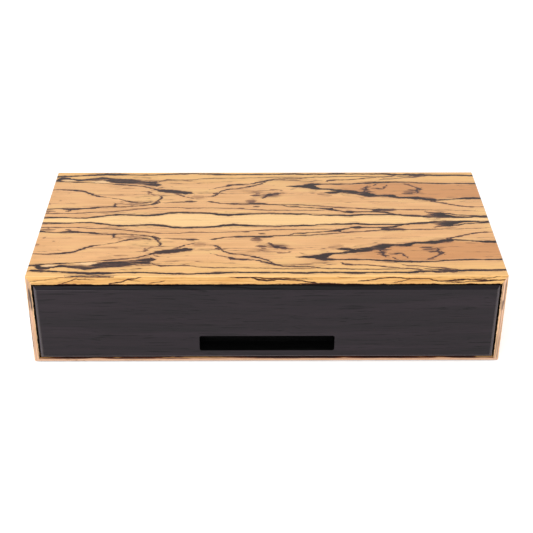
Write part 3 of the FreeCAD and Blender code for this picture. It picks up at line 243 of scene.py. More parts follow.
# Short marks between the veins: (along, across, to along, to across, half width, how dark).
MARKS = [
    (-193, 77, -190, 84, 1.7, 1), (-191, 84.5, -181, 83.5, 0.9, 0.7), (-179, 82, -176, 79, 1.4, 0.95),
    (-156, 83, -146, 82, 2.2, 1), (-148, 80, -136, 79, 1.6, 0.9), (-118, 72, -104, 69, 1.5, 0.7),
    (-108, 75, -98, 75, 1.6, 0.9), (-101, 72, -97, 66, 1.5, 0.9), (-139, 71, -116, 67.5, 0.9, 0.5),
    (-134.5, 25, -133, 30, 0.7, 0.7), (-134, 31, -125, 33, 0.7, 0.4), (-131, 26, -122, 24, 0.7, 0.45),
    (-104, 55, -102, 52, 1.1, 0.55), (-102, 50, -98, 48, 1.2, 0.4), (-120, 35, -104, 34, 0.8, 0.3),
    (-98, 29, -94, 33, 1, 0.7), (-94, 33, -93.5, 38, 0.7, 0.6), (-74, 52, -68, 50, 1.2, 0.85),
    (-80, 50, -72, 47, 0.8, 0.5), (-70, 36, -60, 35, 1, 0.7), (-60, 41, -52, 45, 1.6, 0.3),
    (-64, 44, -54, 44, 1.2, 0.3), (-44, 50, -40, 52, 1, 0.6), (-42, 46, -41, 49, 0.8, 0.5),
    (-32, 65, -31, 69, 1.1, 0.6), (-26, 69, -16, 69.5, 1.1, 0.75), (-16, 62, -9, 65, 0.9, 0.6),
    (-6, 72, 3, 76, 1.1, 0.5), (-30, 30, -19, 30, 1.3, 0.85), (-14, 36, -4, 37, 1.1, 0.45),
    (-12, 33, -4, 34.5, 1.6, 0.5), (-7, 25, -1, 25, 0.7, 0.85), (-21, 21, -14, 21, 0.9, 0.55),
    (-9, 46, 0, 47, 1.6, 0.6), (-5, 50, 0, 51, 0.8, 0.5), (2, 41, 6, 46, 1.4, 0.75),
    (5, 47, 11, 49, 2, 0.85), (10, 49, 18, 50, 1.6, 0.7), (16, 50.5, 24, 51, 0.8, 0.45),
    (7, 58, 19, 58, 0.7, 0.5), (18, 58, 21, 55, 0.8, 0.4), (28, 58, 34, 62, 0.6, 0.35),
    (53, 50, 66, 46, 1.8, 0.25), (64, 51.5, 73, 52, 1.3, 0.95), (62, 19.5, 66, 20.5, 1.6, 0.8),
    (76, 14, 85, 14, 1.4, 0.9), (100, 18, 110, 16, 1.6, 0.85), (104, 19.5, 118, 18, 0.8, 0.8),
    (93, 57, 103, 58.5, 0.7, 0.8), (96, 54, 106, 53, 0.8, 0.75), (98, 61, 104, 64, 0.7, 0.75),
    (94, 60, 100, 60.5, 0.6, 0.6), (106, 65, 111, 70, 0.7, 0.7), (108, 60.5, 115, 58.5, 1, 0.8),
    (115, 59, 120, 67, 0.9, 0.65), (104, 60, 108, 60.5, 0.9, 0.4), (138, 57, 149, 55.5, 0.9, 0.75),
    (149.5, 56, 151.5, 61, 0.8, 0.72), (146, 63, 138, 69.5, 0.7, 0.55), (131, 49.6, 143, 48.6, 0.7, 0.8),
    (134, 52.4, 146, 51, 0.6, 0.75), (142, 51, 154, 49.5, 1, 0.35), (118, 44.8, 126, 44.6, 1.9, 1),
    (147, 3.6, 158, 4.2, 1.7, 1), (152, 6, 166, 7, 2.6, 1), (158, 10, 166, 10.5, 1.8, 0.95),
    (164, 12, 166.5, 2.5, 0.9, 1), (166, 6, 173, 4.8, 1.7, 0.95), (153, 10.5, 149, 15, 0.8, 0.4),
    (124, 7.4, 148, 6, 0.9, 0.8), (126, 88, 131, 90, 1.5, 0.75), (130, 84.6, 146, 85.4, 0.6, 0.85),
    (136, 90.6, 152, 90.2, 0.5, 0.8), (142, 86, 156, 87, 0.8, 0.9), (148, 87, 158, 90, 1.5, 0.6),
    (157, 36, 163, 32, 0.7, 0.6), (165, 31.5, 171, 30, 0.8, 0.65), (187, 22.5, 197, 22.5, 0.8, 0.6),
    (-168, 95, -126, 95.3, 0.5, 0.9), (-152, 92.5, -138, 92, 0.9, 0.8), (-164, 89.5, -157, 90.5, 1.1, 0.7),
    (68, 91.6, 82, 92, 0.8, 0.9), (20, 83.5, 42, 84, 0.7, 0.35), (-128, 30, -104, 31, 0.7, 0.4),
    (-118.5, 25, -117, 30, 0.9, 0.4), (-112, 27, -101, 29, 0.9, 0.5), (-108, 33, -99, 36, 0.8, 0.4),
    (-104, 49, -104.5, 56, 1, 0.45), (-102, 58, -95, 61, 0.9, 0.45), (-96, 62, -91, 64, 0.8, 0.5),
    (156.5, 36, 158, 33, 1, 0.6), (-200, 17.5, -186, 17, 0.8, 0.5), (-193, 13, -192, 17, 0.8, 0.4),
    (-176, 17, -172, 19, 1.1, 0.6), (-150, 12.5, -120, 15, 0.5, 0.2), (172, 41.5, 182, 42, 0.7, 0.3),
    (150, 12.5, 163, 10, 1.1, 0.6), (100, 73, 108, 75, 0.8, 0.35), (66, 22, 74, 23.5, 1, 0.35),
    (-130, 62, -118, 62.5, 0.5, 0.2), (-196, 33, -192, 30, 0.9, 0.35), (-200, 44, -197, 43, 1.1, 0.35),
    (-186, 38, -183, 37, 0.8, 0.25), (92, 41, 96, 41, 0.7, 0.35),
]
FEATHER = 0.3  # how much of its half width the ink takes to thin out at a vein's edge
UNIT = 600.0  # mm, the full height of the curves that hold the courses
ASIDE = -50.0  # mm, where a course waits, off the leaf, before its vein begins and after it ends
WIDEST = 10.0  # mm, a half width that fills the curve's height
HAIR = 0.01  # mm, the least half width, so that nothing is divided by 0
FAR = 99.0  # half widths, further than any vein reaches


def box(node):
    """A CAD node's lowest and highest corner, in millimetres."""
    return [np.array(corner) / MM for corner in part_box(node)]


def course(points, low, high, offset):
    """The curves of one course over low to high: its middle, its half width and its darkness.

    points are (place, middle, half width, darkness); a point without a middle waits aside.
    """
    share = [(place - low) / (high - low) for place, *rest in points]
    first, last = points[0], points[-1]
    if share[0] > 0.001:
        points, share = [(0, None, 0, first[3])] * 2 + points, [0.0, share[0] - 0.0005] + share
    if share[-1] < 0.999:
        points, share = points + [(0, None, 0, last[3])] * 2, share + [share[-1] + 0.0005, 1.0]
    middles = [((ASIDE if middle is None else middle) + offset) / UNIT for _, middle, _, _ in points]
    halves = [max(half, HAIR) / WIDEST for _, _, half, _ in points]
    return [list(zip(share, values)) for values in (middles, halves, [point[3] for point in points])]


def darkened(table):
    """A table's courses by name, with how dark each is added to every one of its points."""
    return {name: [(*point, dark) for point in points] for name, (dark, points) in table.items()}


def rows(marks):
    """Packs short marks (from, middle, to, middle, half width, darkness) end to end into few courses.

    A mark swells over the first 30 per cent of its length and thins out over the last, and so that it
    ends softly it runs on by 1.2 mm each way.
    """
    packed = []
    turned = [mark if mark[0] < mark[2] else (*mark[2:4], *mark[:2], *mark[4:]) for mark in marks]
    for start, here, end, there, half, dark in sorted(turned):
        row = next((row for row in packed if row[-1][0] + 4.0 < start), None)
        if row is None:
            packed.append(row := [])
        taper = 0.3 * (end - start)
        row += [(start - 1.6, None, 0, dark)] if row else []
        row += [(start - 1.2, here, 0, dark), (start + taper, here * 0.7 + there * 0.3, half, dark),
                (end - taper, here * 0.3 + there * 0.7, half, dark), (end + 1.2, there, 0, dark),
                (end + 1.6, None, 0, dark)]
    return packed


def pull(value, amount, place, *cell):
    """A value pushed to and fro by a noise with cells of the given size."""
    noise = add("Math SUBTRACT", grain(place, *cell, detail=4.0, roughness=0.6), 0.5)
    return add("Math MULTIPLY_ADD", noise, amount, value)


def draw(ink, near, share, level, swell, curves):
    """Draws one more course over the ink so far: dark where its middle is nearer than its half width.

    near keeps the distance from the nearest middle, counted in half widths.
    """
    line = add("RGBCurve", Color=share, courses=curves)
    middle, half, dark = add("SeparateColor", line).node.outputs
    away = add("Math ABSOLUTE", add("Math SUBTRACT", level, middle))
    away = add("Math DIVIDE", away, add("Math MULTIPLY", half, swell))
    near = add("Math MINIMUM", near, away)
    inside = add("MapRange", away, 1.0 + FEATHER, 1.0 - FEATHER)
    return add("Math MAXIMUM", ink, add("Math MULTIPLY", inside, dark)), near, middle


def ellipse(spot, x, y, length, width):
    """How far out a spot lies from the middle of a level ellipse, where 1 is its edge."""
    offset = add("VectorMath SUBTRACT", spot, (x, y, 0.0))
    offset = add("VectorMath MULTIPLY", offset, (1 / length, 1 / width, 0.0))
    return add("VectorMath LENGTH", offset).node.outputs["Value"]


def threads(place, shift, cell, dark, edge, detail, patch):
    """Threads too fine to follow one by one, and where a second noise lets them show.

    They are the level lines of a drawn-out noise, as dark as given, and fade out at the edge.
    """
    place = add("VectorMath ADD", place, shift)
    place = add("VectorMath MULTIPLY", place, [1 / size for size in cell])
    level = add("TexNoise", Vector=place, Scale=1.0, Detail=detail, Roughness=0.5)
    level = add("Math ABSOLUTE", add("Math SUBTRACT", level, 0.5))
    allow = add("TexNoise", Vector=place, Scale=patch, Detail=1.0)
    return add("MapRange", level, 0.004, edge, dark, 0.0), add("MapRange", allow, 0.5, 0.62)


def inked(wood, ink, *stops):
    """The wood with its ink over it, whose colour runs from thin ink to full."""
    return add("MixRGB", add("MapRange", ink, 0.02, 0.55), wood, add("ValToRGB", ink, stops=stops))


# One leaf, read by its place along the grain and across it. The third coordinate only picks a slice of each
# noise, and a last cell size of 1 / n picks the slice n times as far out.
SLICE = 11.0
leaf = bpy.data.node_groups.new("pale_ebony_leaf", "ShaderNodeTree")
for name, way, kind in (("Along", "INPUT", "Float"), ("Across", "INPUT", "Float"),
                        ("Colour", "OUTPUT", "Color"), ("Relief", "OUTPUT", "Float")):
    leaf.interface.new_socket(name, in_out=way, socket_type="NodeSocket" + kind)
given = leaf.nodes.new("NodeGroupInput").outputs
spot = add("CombineXYZ", given["Along"], given["Across"], SLICE)
across = pull(given["Across"], 2.6, spot, 15, 8, 1)
across = pull(across, 2.0, spot, 5, 3, 1 / 2)
along = pull(given["Along"], 9.0, spot, 6, 1.5, 1 / 3)
rough = pull(1.3, 1.7, spot, 12, 0.9, 1 / 4)  # streaks along the grain that widen and narrow the ink
swell = add("Math MULTIPLY", rough, WIDEST / UNIT)
lengthwise = add("MapRange", along, -HALF, HALF)
crosswise = add("MapRange", across, 0.0, SPAN)
across_level = add("Math MULTIPLY_ADD", across, 1 / UNIT, -ASIDE / UNIT)
along_level = add("Math MULTIPLY_ADD", along, 1 / UNIT, 0.5)

middles, ink, near = {}, 0.0, FAR
level_marks = [mark for mark in MARKS if abs(mark[2] - mark[0]) >= abs(mark[3] - mark[1])]
steep_marks = [(y, x, to_y, to_x, *rest) for x, y, to_x, to_y, *rest in MARKS
               if abs(to_x - x) < abs(to_y - y)]
for name, points in [*darkened(VEINS).items(), *(("marks", row) for row in rows(level_marks))]:
    curves = course(points, -HALF, HALF, -ASIDE)
    ink, near, middles[name] = draw(ink, near, lengthwise, across_level, swell, curves)
for points in [*darkened(CROSS_VEINS).values(), *rows(steep_marks)]:
    curves = course(points, 0, SPAN, UNIT / 2)
    ink, near, _ = draw(ink, near, crosswise, along_level, swell, curves)

# Soft smudges of ink: (along, across, reach along, reach across, how dark).
feathers = grain(spot, 12, 1.6, 1 / 3, detail=5.0, roughness=0.6)
for *place, dark in ((8, 46, 17, 6.5, 0.62), (-9, 35, 10, 3.5, 0.4), (140, 53, 11, 6, 0.5),
                     (100, 57, 5, 8, 0.5), (-56, 42, 11, 4.5, 0.25), (-122, 74, 24, 5, 0.6),
                     (-112, 30, 12, 4.5, 0.25), (57, 49, 8, 5, 0.2)):
    blot = add("Math SUBTRACT", 1.1, ellipse(spot, *place), clamp=True)
    blot = add("MapRange", add("Math MULTIPLY", blot, feathers), 0.12, 0.5, 0.0, dark)
    ink = add("Math MAXIMUM", ink, blot)

# Fine threads, everywhere that their patches let them, and always close to the veins.
for depth, length, width, dark in ((3.0, 110.0, 7.0, 0.55), (29.0, 80.0, 4.0, 0.45)):
    fine, allow = threads(spot, (0, 0, depth), (length, width, 1.0), dark, 0.016, 4.0, 0.45)
    allow = add("Math MAXIMUM", allow, add("MapRange", near, 4.0, 1.5, 0.0, 0.8))
    ink = add("Math MAXIMUM", ink, add("Math MULTIPLY", fine, allow))

# Inside the ink, streaks along the grain stay brown, most of all in the combed patches: (along, across,
# reach along, reach across).
comb = 0.16
for place in ((-122, 75, 36, 9), (-156, 80, 16, 4), (88, 51, 12, 3.5), (156, 6, 12, 5)):
    comb = add("Math MAXIMUM", comb, add("MapRange", ellipse(spot, *place), 1.1, 0.7))
thin = add("MapRange", pull(0.0, 2.6, spot, 20, 1.1, 1 / 9), -0.05, 0.45, 0.0, 0.85)
ink = add("Math SUBTRACT", ink, add("Math MULTIPLY", thin, comb), clamp=True)

# The wood: clouded tan, paler between the book joint and its band, yellower at the rim, and brown in the
# tongue between the fork and its tail. The ink runs round two pale islands.
clouds = grain(spot, 60, 16, 1 / 5)
wood = add("ValToRGB", clouds, stops=[(0.3, "#DFA870"), (0.5, "#E9B27A"), (0.7, "#EEBE7E")])
pale = add("Math MULTIPLY", add("Math SUBTRACT", middles["pale band"], across_level), UNIT, clamp=True)
wood = add("MixRGB", pale, wood, "#F9CB8D")
rim = add("MapRange", across, 68.0, 84.0, 0.0, 0.75)
wood = add("MixRGB", rim, wood, "#F0BD77")
SOFT = 0.3  # how much of the tongue's brown each millimetre in from its edges brings
under = add("Math SUBTRACT", across_level, middles["fork"])
under = add("Math MULTIPLY", under, SOFT * UNIT, clamp=True)
over = add("Math SUBTRACT", middles["fork tail"], across_level)
over = add("Math MULTIPLY", over, SOFT * UNIT, clamp=True)
beyond = add("MapRange", along, 50.0, 90.0, 0.0, 0.85)
tongue = add("Math MULTIPLY", add("Math MULTIPLY", under, over), beyond)
wood = add("MixRGB", tongue, wood, "#CD8D58")
for place in ((-182, 79.5, 9, 3.2), (-150, 75.5, 13, 3)):
    wood = add("MixRGB", add("MapRange", ellipse(spot, *place), 1.0, 0.5, 0.0, 0.7), wood, "#FAD29E")

# Fine stripes shade the wood, and a brown halo runs along the veins.
FIBRE = (55.0, 1.6)  # mm, length and width of the stripes, twice their real width so that they show
fibres = grain(spot, *FIBRE, 1 / 7)
halo = add("MapRange", near, 2.6, 1.0, 0.0, 0.6)
halo = add("Math MULTIPLY", halo, add("Math MULTIPLY", fibres, fibres))
wood = add("MixRGB", halo, wood, "#8E5E3A")
wood = add("VectorMath SCALE", wood, Scale=add("MapRange", fibres, 0.3, 0.7, 0.9, 1.08))
wood = inked(wood, ink, (0.0, "#A0704A"), (0.42, "#6A4233"), (0.78, "#3D2622"), (1.0, "#240F08"))
feed(leaf.nodes.new("NodeGroupOutput"), Colour=wood, Relief=fibres)

# Rubbed lacquer gives each face a soft gloss that keeps the wood's colour. Each face reads the leaf in its
# own way: the sides take the leaf's ends folded down at the mitre, and the back a leaf turned end for end.
LACQUER = 0.24  # roughness
SLIP = 4.8  # mm, how far the rear leaf lies to the left of the front one
CASE_TOP = box("top_veneer_front_leaf")[1][2]
for name, nodes in (("top", ["top_veneer_front_leaf", "top_veneer_rear_leaf"]),
                    ("side", ["left_veneer", "right_veneer"]), ("back", ["back_veneer"])):
    lacquer, shader, place = start(f"lacquered_veneer_{name}", LACQUER, IOR=1.45, Specular_IOR_Level=0.22)
    x, y, z = add("SeparateXYZ", place).node.outputs
    spread = add("Math ABSOLUTE", y)
    if name == "top":
        # The rear leaf lies a little to the left, and its joint runs out by 2 mm towards the right.
        behind = add("Math GREATER_THAN", y, 0.0)
        reading = add("Math MULTIPLY_ADD", behind, SLIP, x)
        spread = add("Math MULTIPLY_ADD", add("Math MULTIPLY_ADD", x, -0.005, -1.0), behind, spread)
    elif name == "side":
        reading = add("Math MULTIPLY", add("Math ADD", z, HALF - CASE_TOP), add("Math SIGN", x))
    else:
        reading, spread = add("Math MULTIPLY", x, -1.0), z
    figure = add("Group", group=leaf, Along=reading, Across=spread).node.outputs
    feed(shader, Base_Color=figure["Colour"],
         Normal=add("Bump", Height=figure["Relief"], Distance=0.00002, Strength=0.5))
    lay_on(lacquer, *nodes)


# The lippings: solid strips of the same pale wood on the front edges of the four boards, mitred at
# the corners. The top strip has fine branching lines, and the side strips a pale and a pinker half.

STRANDS = {  # on the top strip: how dark, then (left to right, height, half its width)
    "long rise": (0.5, [(-198, 81.8, 0.2), (-184, 83.6, 0.3), (-172, 86.2, 0.3), (-166, 87.2, 0.2)]),
    "top line": (0.9, [(-168, 86.6, 0.2), (-160, 86.5, 0.35), (-142, 86.4, 0.4), (-126, 86.6, 0.2)]),
    "left rise": (0.75, [
        (-174, 79.4, 0.3), (-167, 81.4, 0.4), (-158, 84.7, 0.4), (-150, 84.4, 0.25), (-141, 83.4, 0)]),
    "second rise": (0.9, [
        (-132, 79.6, 0.45), (-124, 81.2, 0.5), (-115, 84.2, 0.55), (-109, 85.4, 0.4), (-102, 87.2, 0.4)]),
    "short twig": (0.75, [(-116, 84, 0.3), (-110, 83.2, 0.4), (-104, 82.4, 0)]),
    "low twig": (0.6, [(-102, 80.8, 0), (-94, 81, 0.35), (-86, 82.2, 0.3), (-83, 83, 0)]),
    "tangle": (0.95, [
        (-34, 87, 0.3), (-24, 86.2, 0.6), (-14, 86.6, 0.6), (-8, 84, 0.8), (0, 82.9, 0.75), (12, 84, 0.55),
        (24, 83.4, 0.5), (34, 81.4, 0.55), (42, 80.2, 0.6), (54, 79.8, 0.5), (62, 80, 0)]),
    "tangle above": (0.85, [
        (-20, 87.4, 0.4), (-8, 86.2, 0.5), (2, 84.6, 0.6), (14, 85.4, 0.4), (28, 84.6, 0.4), (40, 84, 0)]),
    "middle thread": (0.42, [(54, 87.2, 0.2), (62, 86, 0.35), (76, 85.2, 0)]),
    "middle rise": (0.88, [
        (74, 82.4, 0.3), (84, 82.8, 0.45), (92, 84.8, 0.45), (102, 85.8, 0.5), (110, 85.4, 0.4),
        (120, 84.2, 0.5), (134, 84.4, 0.5), (143, 82.2, 0.4), (150, 82.4, 0)]),
    "middle loop": (0.7, [(103, 80.6, 0), (108, 81.2, 0.4), (118, 83.8, 0.35), (128, 84.4, 0)]),
    "right knot": (0.98, [
        (140, 82.2, 0.3), (150, 82.6, 0.6), (158, 83.2, 0.6), (166, 84, 0.5), (176, 83, 0.5),
        (188, 82.8, 0.5), (200, 82.9, 0.45)]),
    "right low": (0.85, [
        (146, 81.4, 0), (154, 81.2, 0.5), (166, 81.8, 0.5), (182, 82, 0.4), (192, 82.6, 0)]),
    "right rise": (0.8, [
        (170, 83.6, 0), (178, 84.6, 0.35), (186, 84.8, 0.4), (191, 86.8, 0.35), (200, 87.6, 0.3)]),
    "foot line": (0.85, [
        (-200, 79, 0.1), (-176, 79.1, 0.15), (-168, 79.4, 0.7), (-150, 79.4, 0.7), (-142, 79.1, 0.2),
        (-110, 79.3, 0.6), (-92, 79.2, 0.3), (-40, 79.2, 0.25), (-4, 79.2, 0.35), (8, 79.3, 0.2),
        (34, 79.4, 0.6), (52, 79.3, 0.5), (90, 79.1, 0.3), (200, 79.1, 0.35)]),
}


def finish_lipping(shader, wood, black, streaks):
    """Paints the wood black and dull where it faces the drawer, as painted shade in the gap round the
    drawer, and gives its streaks a slight relief.
    """
    feed(shader, Base_Color=add("MixRGB", black, wood, "#0A0808"),
         Specular_IOR_Level=add("MapRange", black, 0.0, 1.0, 0.25, 0.02),
         Normal=add("Bump", Height=streaks, Distance=0.00003, Strength=0.5))


# The level strips: honey-coloured wood that glows under its lacquer, with crisp dark strands over it.
lipping, shader, place = start("lacquered_lipping_across", LACQUER, IOR=1.45, Specular_IOR_Level=0.25)
x, y, z = add("SeparateXYZ", place).node.outputs
height = pull(pull(z, 2.2, place, 9, 10, 4), 1.1, place, 3, 10, 2)
swell = add("Math MULTIPLY", pull(1.05, 1.3, place, 10, 10, 0.8), WIDEST / UNIT)
share = add("MapRange", x, -HALF, HALF)
level = add("Math MULTIPLY_ADD", height, 1 / UNIT, -ASIDE / UNIT)
ink = 0.0
for points in darkened(STRANDS).values():
    ink, *_ = draw(ink, FAR, share, level, swell, course(points, -HALF, HALF, -ASIDE))
for depth, length, width, dark in ((3.0, 60.0, 3.0, 0.34), (17.0, 40.0, 1.8, 0.26)):
    fine, allow = threads(place, (0, depth, 0), (length, 1.0, width), dark, 0.02, 3.0, 0.5)
    ink = add("Math MAXIMUM", ink, add("Math MULTIPLY", fine, allow))
# The bottom strip is pinker, greyer at its foot, and has broken dark stretches of painted shade from the
# drawer along its upper edge.
BETWEEN = 40.0  # mm, a height between the two strips
streaks = grain(place, 45, 10 / 3, 1.2, detail=4.0)
wood = add("ValToRGB", streaks, stops=[(0.32, "#D2944E"), (0.48, "#EAB36C"), (0.62, "#F2C07A")])
wood = add("MixRGB", add("MapRange", z, 5.2, 4.6), wood, "#E2B594")
wood = add("MixRGB", add("MapRange", z, 2.6, 1.4, 0.0, 0.75), wood, "#B3A39B")
# Painted shade: broken dark stretches where the drawer shades the strip's upper edge.
broken = add("MapRange", grain(place, 24, 10, 1.5), 0.38, 0.58, 0.3, 0.95)
edge = add("Math MULTIPLY", add("MapRange", z, 3.5, 4.3), add("Math LESS_THAN", z, BETWEEN))
ink = add("Math MAXIMUM", ink, add("Math MULTIPLY", broken, edge))
wood = inked(wood, ink, (0.0, "#B4783E"), (0.4, "#74401F"), (0.75, "#4C2415"), (1.0, "#2C130B"))
UNDERSIDE = box("top_lipping")[0][2] + 0.02  # mm, so that the whole edge over the drawer lies under it
# Painted shade: the top strip's underside over the drawer is made black and dull.
under = add("Math MULTIPLY", add("Math LESS_THAN", z, UNDERSIDE), add("Math GREATER_THAN", z, BETWEEN))
finish_lipping(shader, wood, under, streaks)
lay_on(lipping, "top_lipping", "bottom_lipping")

# The upright strips: fine upright streaks, pale beside the drawer and pinker outside, under the lacquer.
STRIP_INNER = box("right_lipping")[0][0]
lipping, shader, place = start("lacquered_lipping_upright", LACQUER, IOR=1.45, Specular_IOR_Level=0.25)
x, y, z = add("SeparateXYZ", place).node.outputs
out_there = add("Math SUBTRACT", add("Math ABSOLUTE", x), STRIP_INNER)
streaks = grain(place, 0.8, 10 / 3, 30, detail=4.0)
outer = add("Math ADD", out_there, add("Math MULTIPLY_ADD", streaks, 2.2, -1.1))
wood = add("MixRGB", add("MapRange", outer, 1.5, 3.4), "#E8BA8E", "#DFB397")
# The right strip is made paler than the left.
wood = add("VectorMath SCALE", wood, Scale=add("MapRange", x, -1.0, 1.0, 1.0, 1.14))
# Dark streaks, bold ones high on the left strip and thin ones down the right: (side, height of the middle,
# half length, place across the strip, half width, how dark).
for side, middle, length, across_at, width, dark in (
        (-1, 64, 12, 2.1, 0.65, 0.95), (-1, 69, 8, 2.7, 0.5, 0.8), (-1, 62, 9, 4, 0.5, 0.7),
        (-1, 8, 9, 1.2, 0.2, 0.5), (1, 68, 18, 1.5, 0.2, 0.7), (1, 70, 14, 3.6, 0.3, 0.7),
        (1, 58, 6, 2.9, 0.5, 0.75), (1, 40, 26, 4.7, 0.45, 0.85), (1, 40, 18, 2.6, 0.15, 0.5),
        (1, 16, 16, 1.6, 0.2, 0.6), (1, 14, 14, 3.3, 0.2, 0.65)):
    there = add("Math GREATER_THAN", add("Math MULTIPLY", x, side), 0.0)
    along = add("Math ABSOLUTE", add("Math SUBTRACT", z, middle))
    along = add("MapRange", along, length, length * 0.6, 0.0, dark)
    aside = add("Math ABSOLUTE", add("Math SUBTRACT", outer, across_at))
    aside = add("MapRange", aside, width + 0.35, width * 0.5)
    mark = add("Math MULTIPLY", add("Math MULTIPLY", there, along), aside)
    wood = add("MixRGB", mark, wood, "#4A413F")
wood = add("VectorMath SCALE", wood, Scale=add("MapRange", streaks, 0.34, 0.6, 0.68, 1.12))
# Painted shade: the black of the inner face, which stands for the shade in the gap, creeps a few tenths of a
# millimetre round the edge.
creep = add("MapRange", pull(out_there, 1.6, place, 5, 5, 4), 0.55, 0.8, 1.0, 0.0)
inner = add("Math MAXIMUM", creep, add("Math LESS_THAN", out_there, 0.05))
finish_lipping(shader, wood, inner, streaks)
lay_on(lipping, "left_lipping", "right_lipping")


# The cedar: plain sawn and planed boards, left bare so that they can take up moisture. They line
# the case, make the drawer's box, and stand in it as the partition, the divider and the block.


def cedar(name, run, light="#CE9C6E", dark="#A86F48"):
    """Bare planed cedar, matt and warm, whose grain runs along one axis: 0 left to right, 1 front to back.

    Colour runs from light to dark by stripes 4 mm wide and 180 mm long, pulled about by a wider noise. The
    pores over them are 0.35 mm wide, drawn twice as wide so that they show, and 9 mm long.
    """
    material, shader, place = start(name, 0.62, Specular_IOR_Level=0.3)
    stripe, pore = [4.0] * 3, [0.7] * 3
    stripe[run], pore[run] = 180.0, 9.0
    slow = add("TexNoise", Vector=place, Scale=0.012, Detail=2.0)
    bent = add("VectorMath ADD", place, add("VectorMath SCALE", slow, Scale=9.0))
    stripes = grain(bent, *stripe, detail=4.0, roughness=0.6)
    pores = add("MapRange", grain(place, *pore, detail=2.0), 0.62, 0.7, 0.0, 0.55)
    wood = add("ValToRGB", stripes, stops=[(0.34, dark), (0.52, light), (0.7, "#DDB286")])
    height = add("Math MULTIPLY_ADD", pores, -1.0, stripes)
    feed(shader, Base_Color=add("MixRGB", pores, wood, "#7A4B2F"),
         Normal=add("Bump", Height=height, Distance=0.00012, Strength=0.6))
    return material


lay_on(cedar("planed_cedar_across", 0), "floor_lining", "ceiling_lining", "back_lining",
       "drawer_inner_front", "drawer_back", "drawer_bottom")
lay_on(cedar("planed_cedar_front_to_back", 1), "left_lining", "right_lining", "drawer_left_side",
       "drawer_right_side")
lay_on(cedar("planed_cedar_partition", 1, "#D3A275", "#B17A50"), "bay_partition")
lay_on(cedar("planed_cedar_divider", 1, "#D8AA7C", "#B98258"), "divider")
lay_on(cedar("planed_cedar_block", 0, "#C7925F", "#9E6640"), "hygrometer_block")


# The felt under the base: a 1.2 mm sheet of pressed black wool, cut a little smaller than the case
# and glued on.


def surface(name, grids, round_rows=False, round_columns=False, sharp=35.0):
    """One mesh from grids of points, shaped (grids, rows, columns, 3), in millimetres.

    Each face joins a point to the next in its row and in its column. In a round direction the last
    point joins the first. Points that meet, as at a pole, are merged, and the faces turned outwards.
    """
    grids = np.asarray(grids, float) * MM
    count, rows, columns = grids.shape[:3]
    index = np.arange(count * rows * columns).reshape(count, rows, columns)
    if round_rows:
        index = np.concatenate([index, index[:, :1]], 1)
    if round_columns:
        index = np.concatenate([index, index[:, :, :1]], 2)
    faces = np.stack([index[:, :-1, :-1], index[:, 1:, :-1], index[:, 1:, 1:], index[:, :-1, 1:]], -1)
    mesh = bpy.data.meshes.new(name)
    mesh.from_pydata(grids.reshape(-1, 3), [], faces.reshape(-1, 4).tolist())
    shape = bmesh.new()
    shape.from_mesh(mesh)
    bmesh.ops.remove_doubles(shape, verts=shape.verts, dist=1e-7)
    bmesh.ops.dissolve_degenerate(shape, edges=shape.edges, dist=1e-8)
    bmesh.ops.recalc_face_normals(shape, faces=shape.faces)
    shape.to_mesh(mesh)
    shape.free()
    mesh.polygons.foreach_set("use_smooth", np.ones(len(mesh.polygons), bool))
    mesh.set_sharp_from_angle(angle=math.radians(sharp))
    piece = bpy.data.objects.new(name, mesh)
    bpy.context.scene.collection.objects.link(piece)
    return piece


def thicken(sheet, thickness):
    """Gives a flat sheet its thickness downwards, whichever way its faces point."""
    solid = sheet.modifiers.new("thickness", "SOLIDIFY")
    solid.thickness, solid.offset = thickness * MM, -1.0 if sheet.data.polygons[0].normal.z > 0 else 1.0


def place_piece(piece, material, body, slot, *nodes):
    """Finishes a new piece, lets it ride on its body and stand for the CAD nodes that it replaces."""
    piece.data.materials.append(material)
    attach(piece, body)
    if nodes:
        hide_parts(*nodes)


FELT = 1.2  # mm
low, high = box("base_felt")
across, deep = np.meshgrid(np.linspace(low[0], high[0], 120), np.linspace(low[1], high[1], 60))
# The sheet lies level, and its upper side is the grid's plane: a flat grid at the base of the case.
felt = surface("felt_sheet", [np.stack([across, deep, np.full_like(across, FELT)], -1)])
thicken(felt, FELT)
# Pressed wool: almost black, matt and slightly clouded, with a sheen from the short fibres that stand up.
wool, shader, place = start("pressed_wool_felt", 0.95, Specular_IOR_Level=0.15, Sheen_Weight=0.4)
fuzz = add("TexNoise", Vector=place, Scale=1.1, Detail=5.0, Roughness=0.7)
cloud = add("TexNoise", Vector=place, Scale=0.06, Detail=2.0)
tone = add("Math MULTIPLY", fuzz, cloud)
feed(shader, Base_Color=add("ValToRGB", tone, stops=[(0.12, "#141416"), (0.42, "#34343A")]),
     Normal=add("Bump", Height=fuzz, Distance=0.0002, Strength=0.8))
place_piece(felt, wool, "case", "felt", "base_felt")


# The drawer front: a board of open-pored ash, stained black and sealed with a thin matt oil, with
# a bevel all round and one finger slot milled through its face.

# Stained ash: near black with a violet cast, and fine level lines of open pores that are darker and duller.
PORE = (60.0, 1.0)  # mm, a row of open pores, drawn about four times as wide as it is so that it shows
stained, shader, place = start("black_stained_ash", 0.42, Specular_IOR_Level=0.35)
sweep = add("VectorMath SCALE", grain(place, 120, 30, 30, detail=2.0), Scale=14.0)
grown = add("VectorMath ADD", place, sweep)
rings = grain(grown, 240, 6, 6)
cut = add("MapRange", grain(grown, PORE[0], PORE[1], PORE[1], roughness=0.6), 0.53, 0.68, 0.0, 0.85)
wood = add("ValToRGB", rings, stops=[(0.35, "#170F15"), (0.55, "#1F151C"), (0.7, "#241A21")])
wood = add("MixRGB", cut, wood, "#0C0A0C")
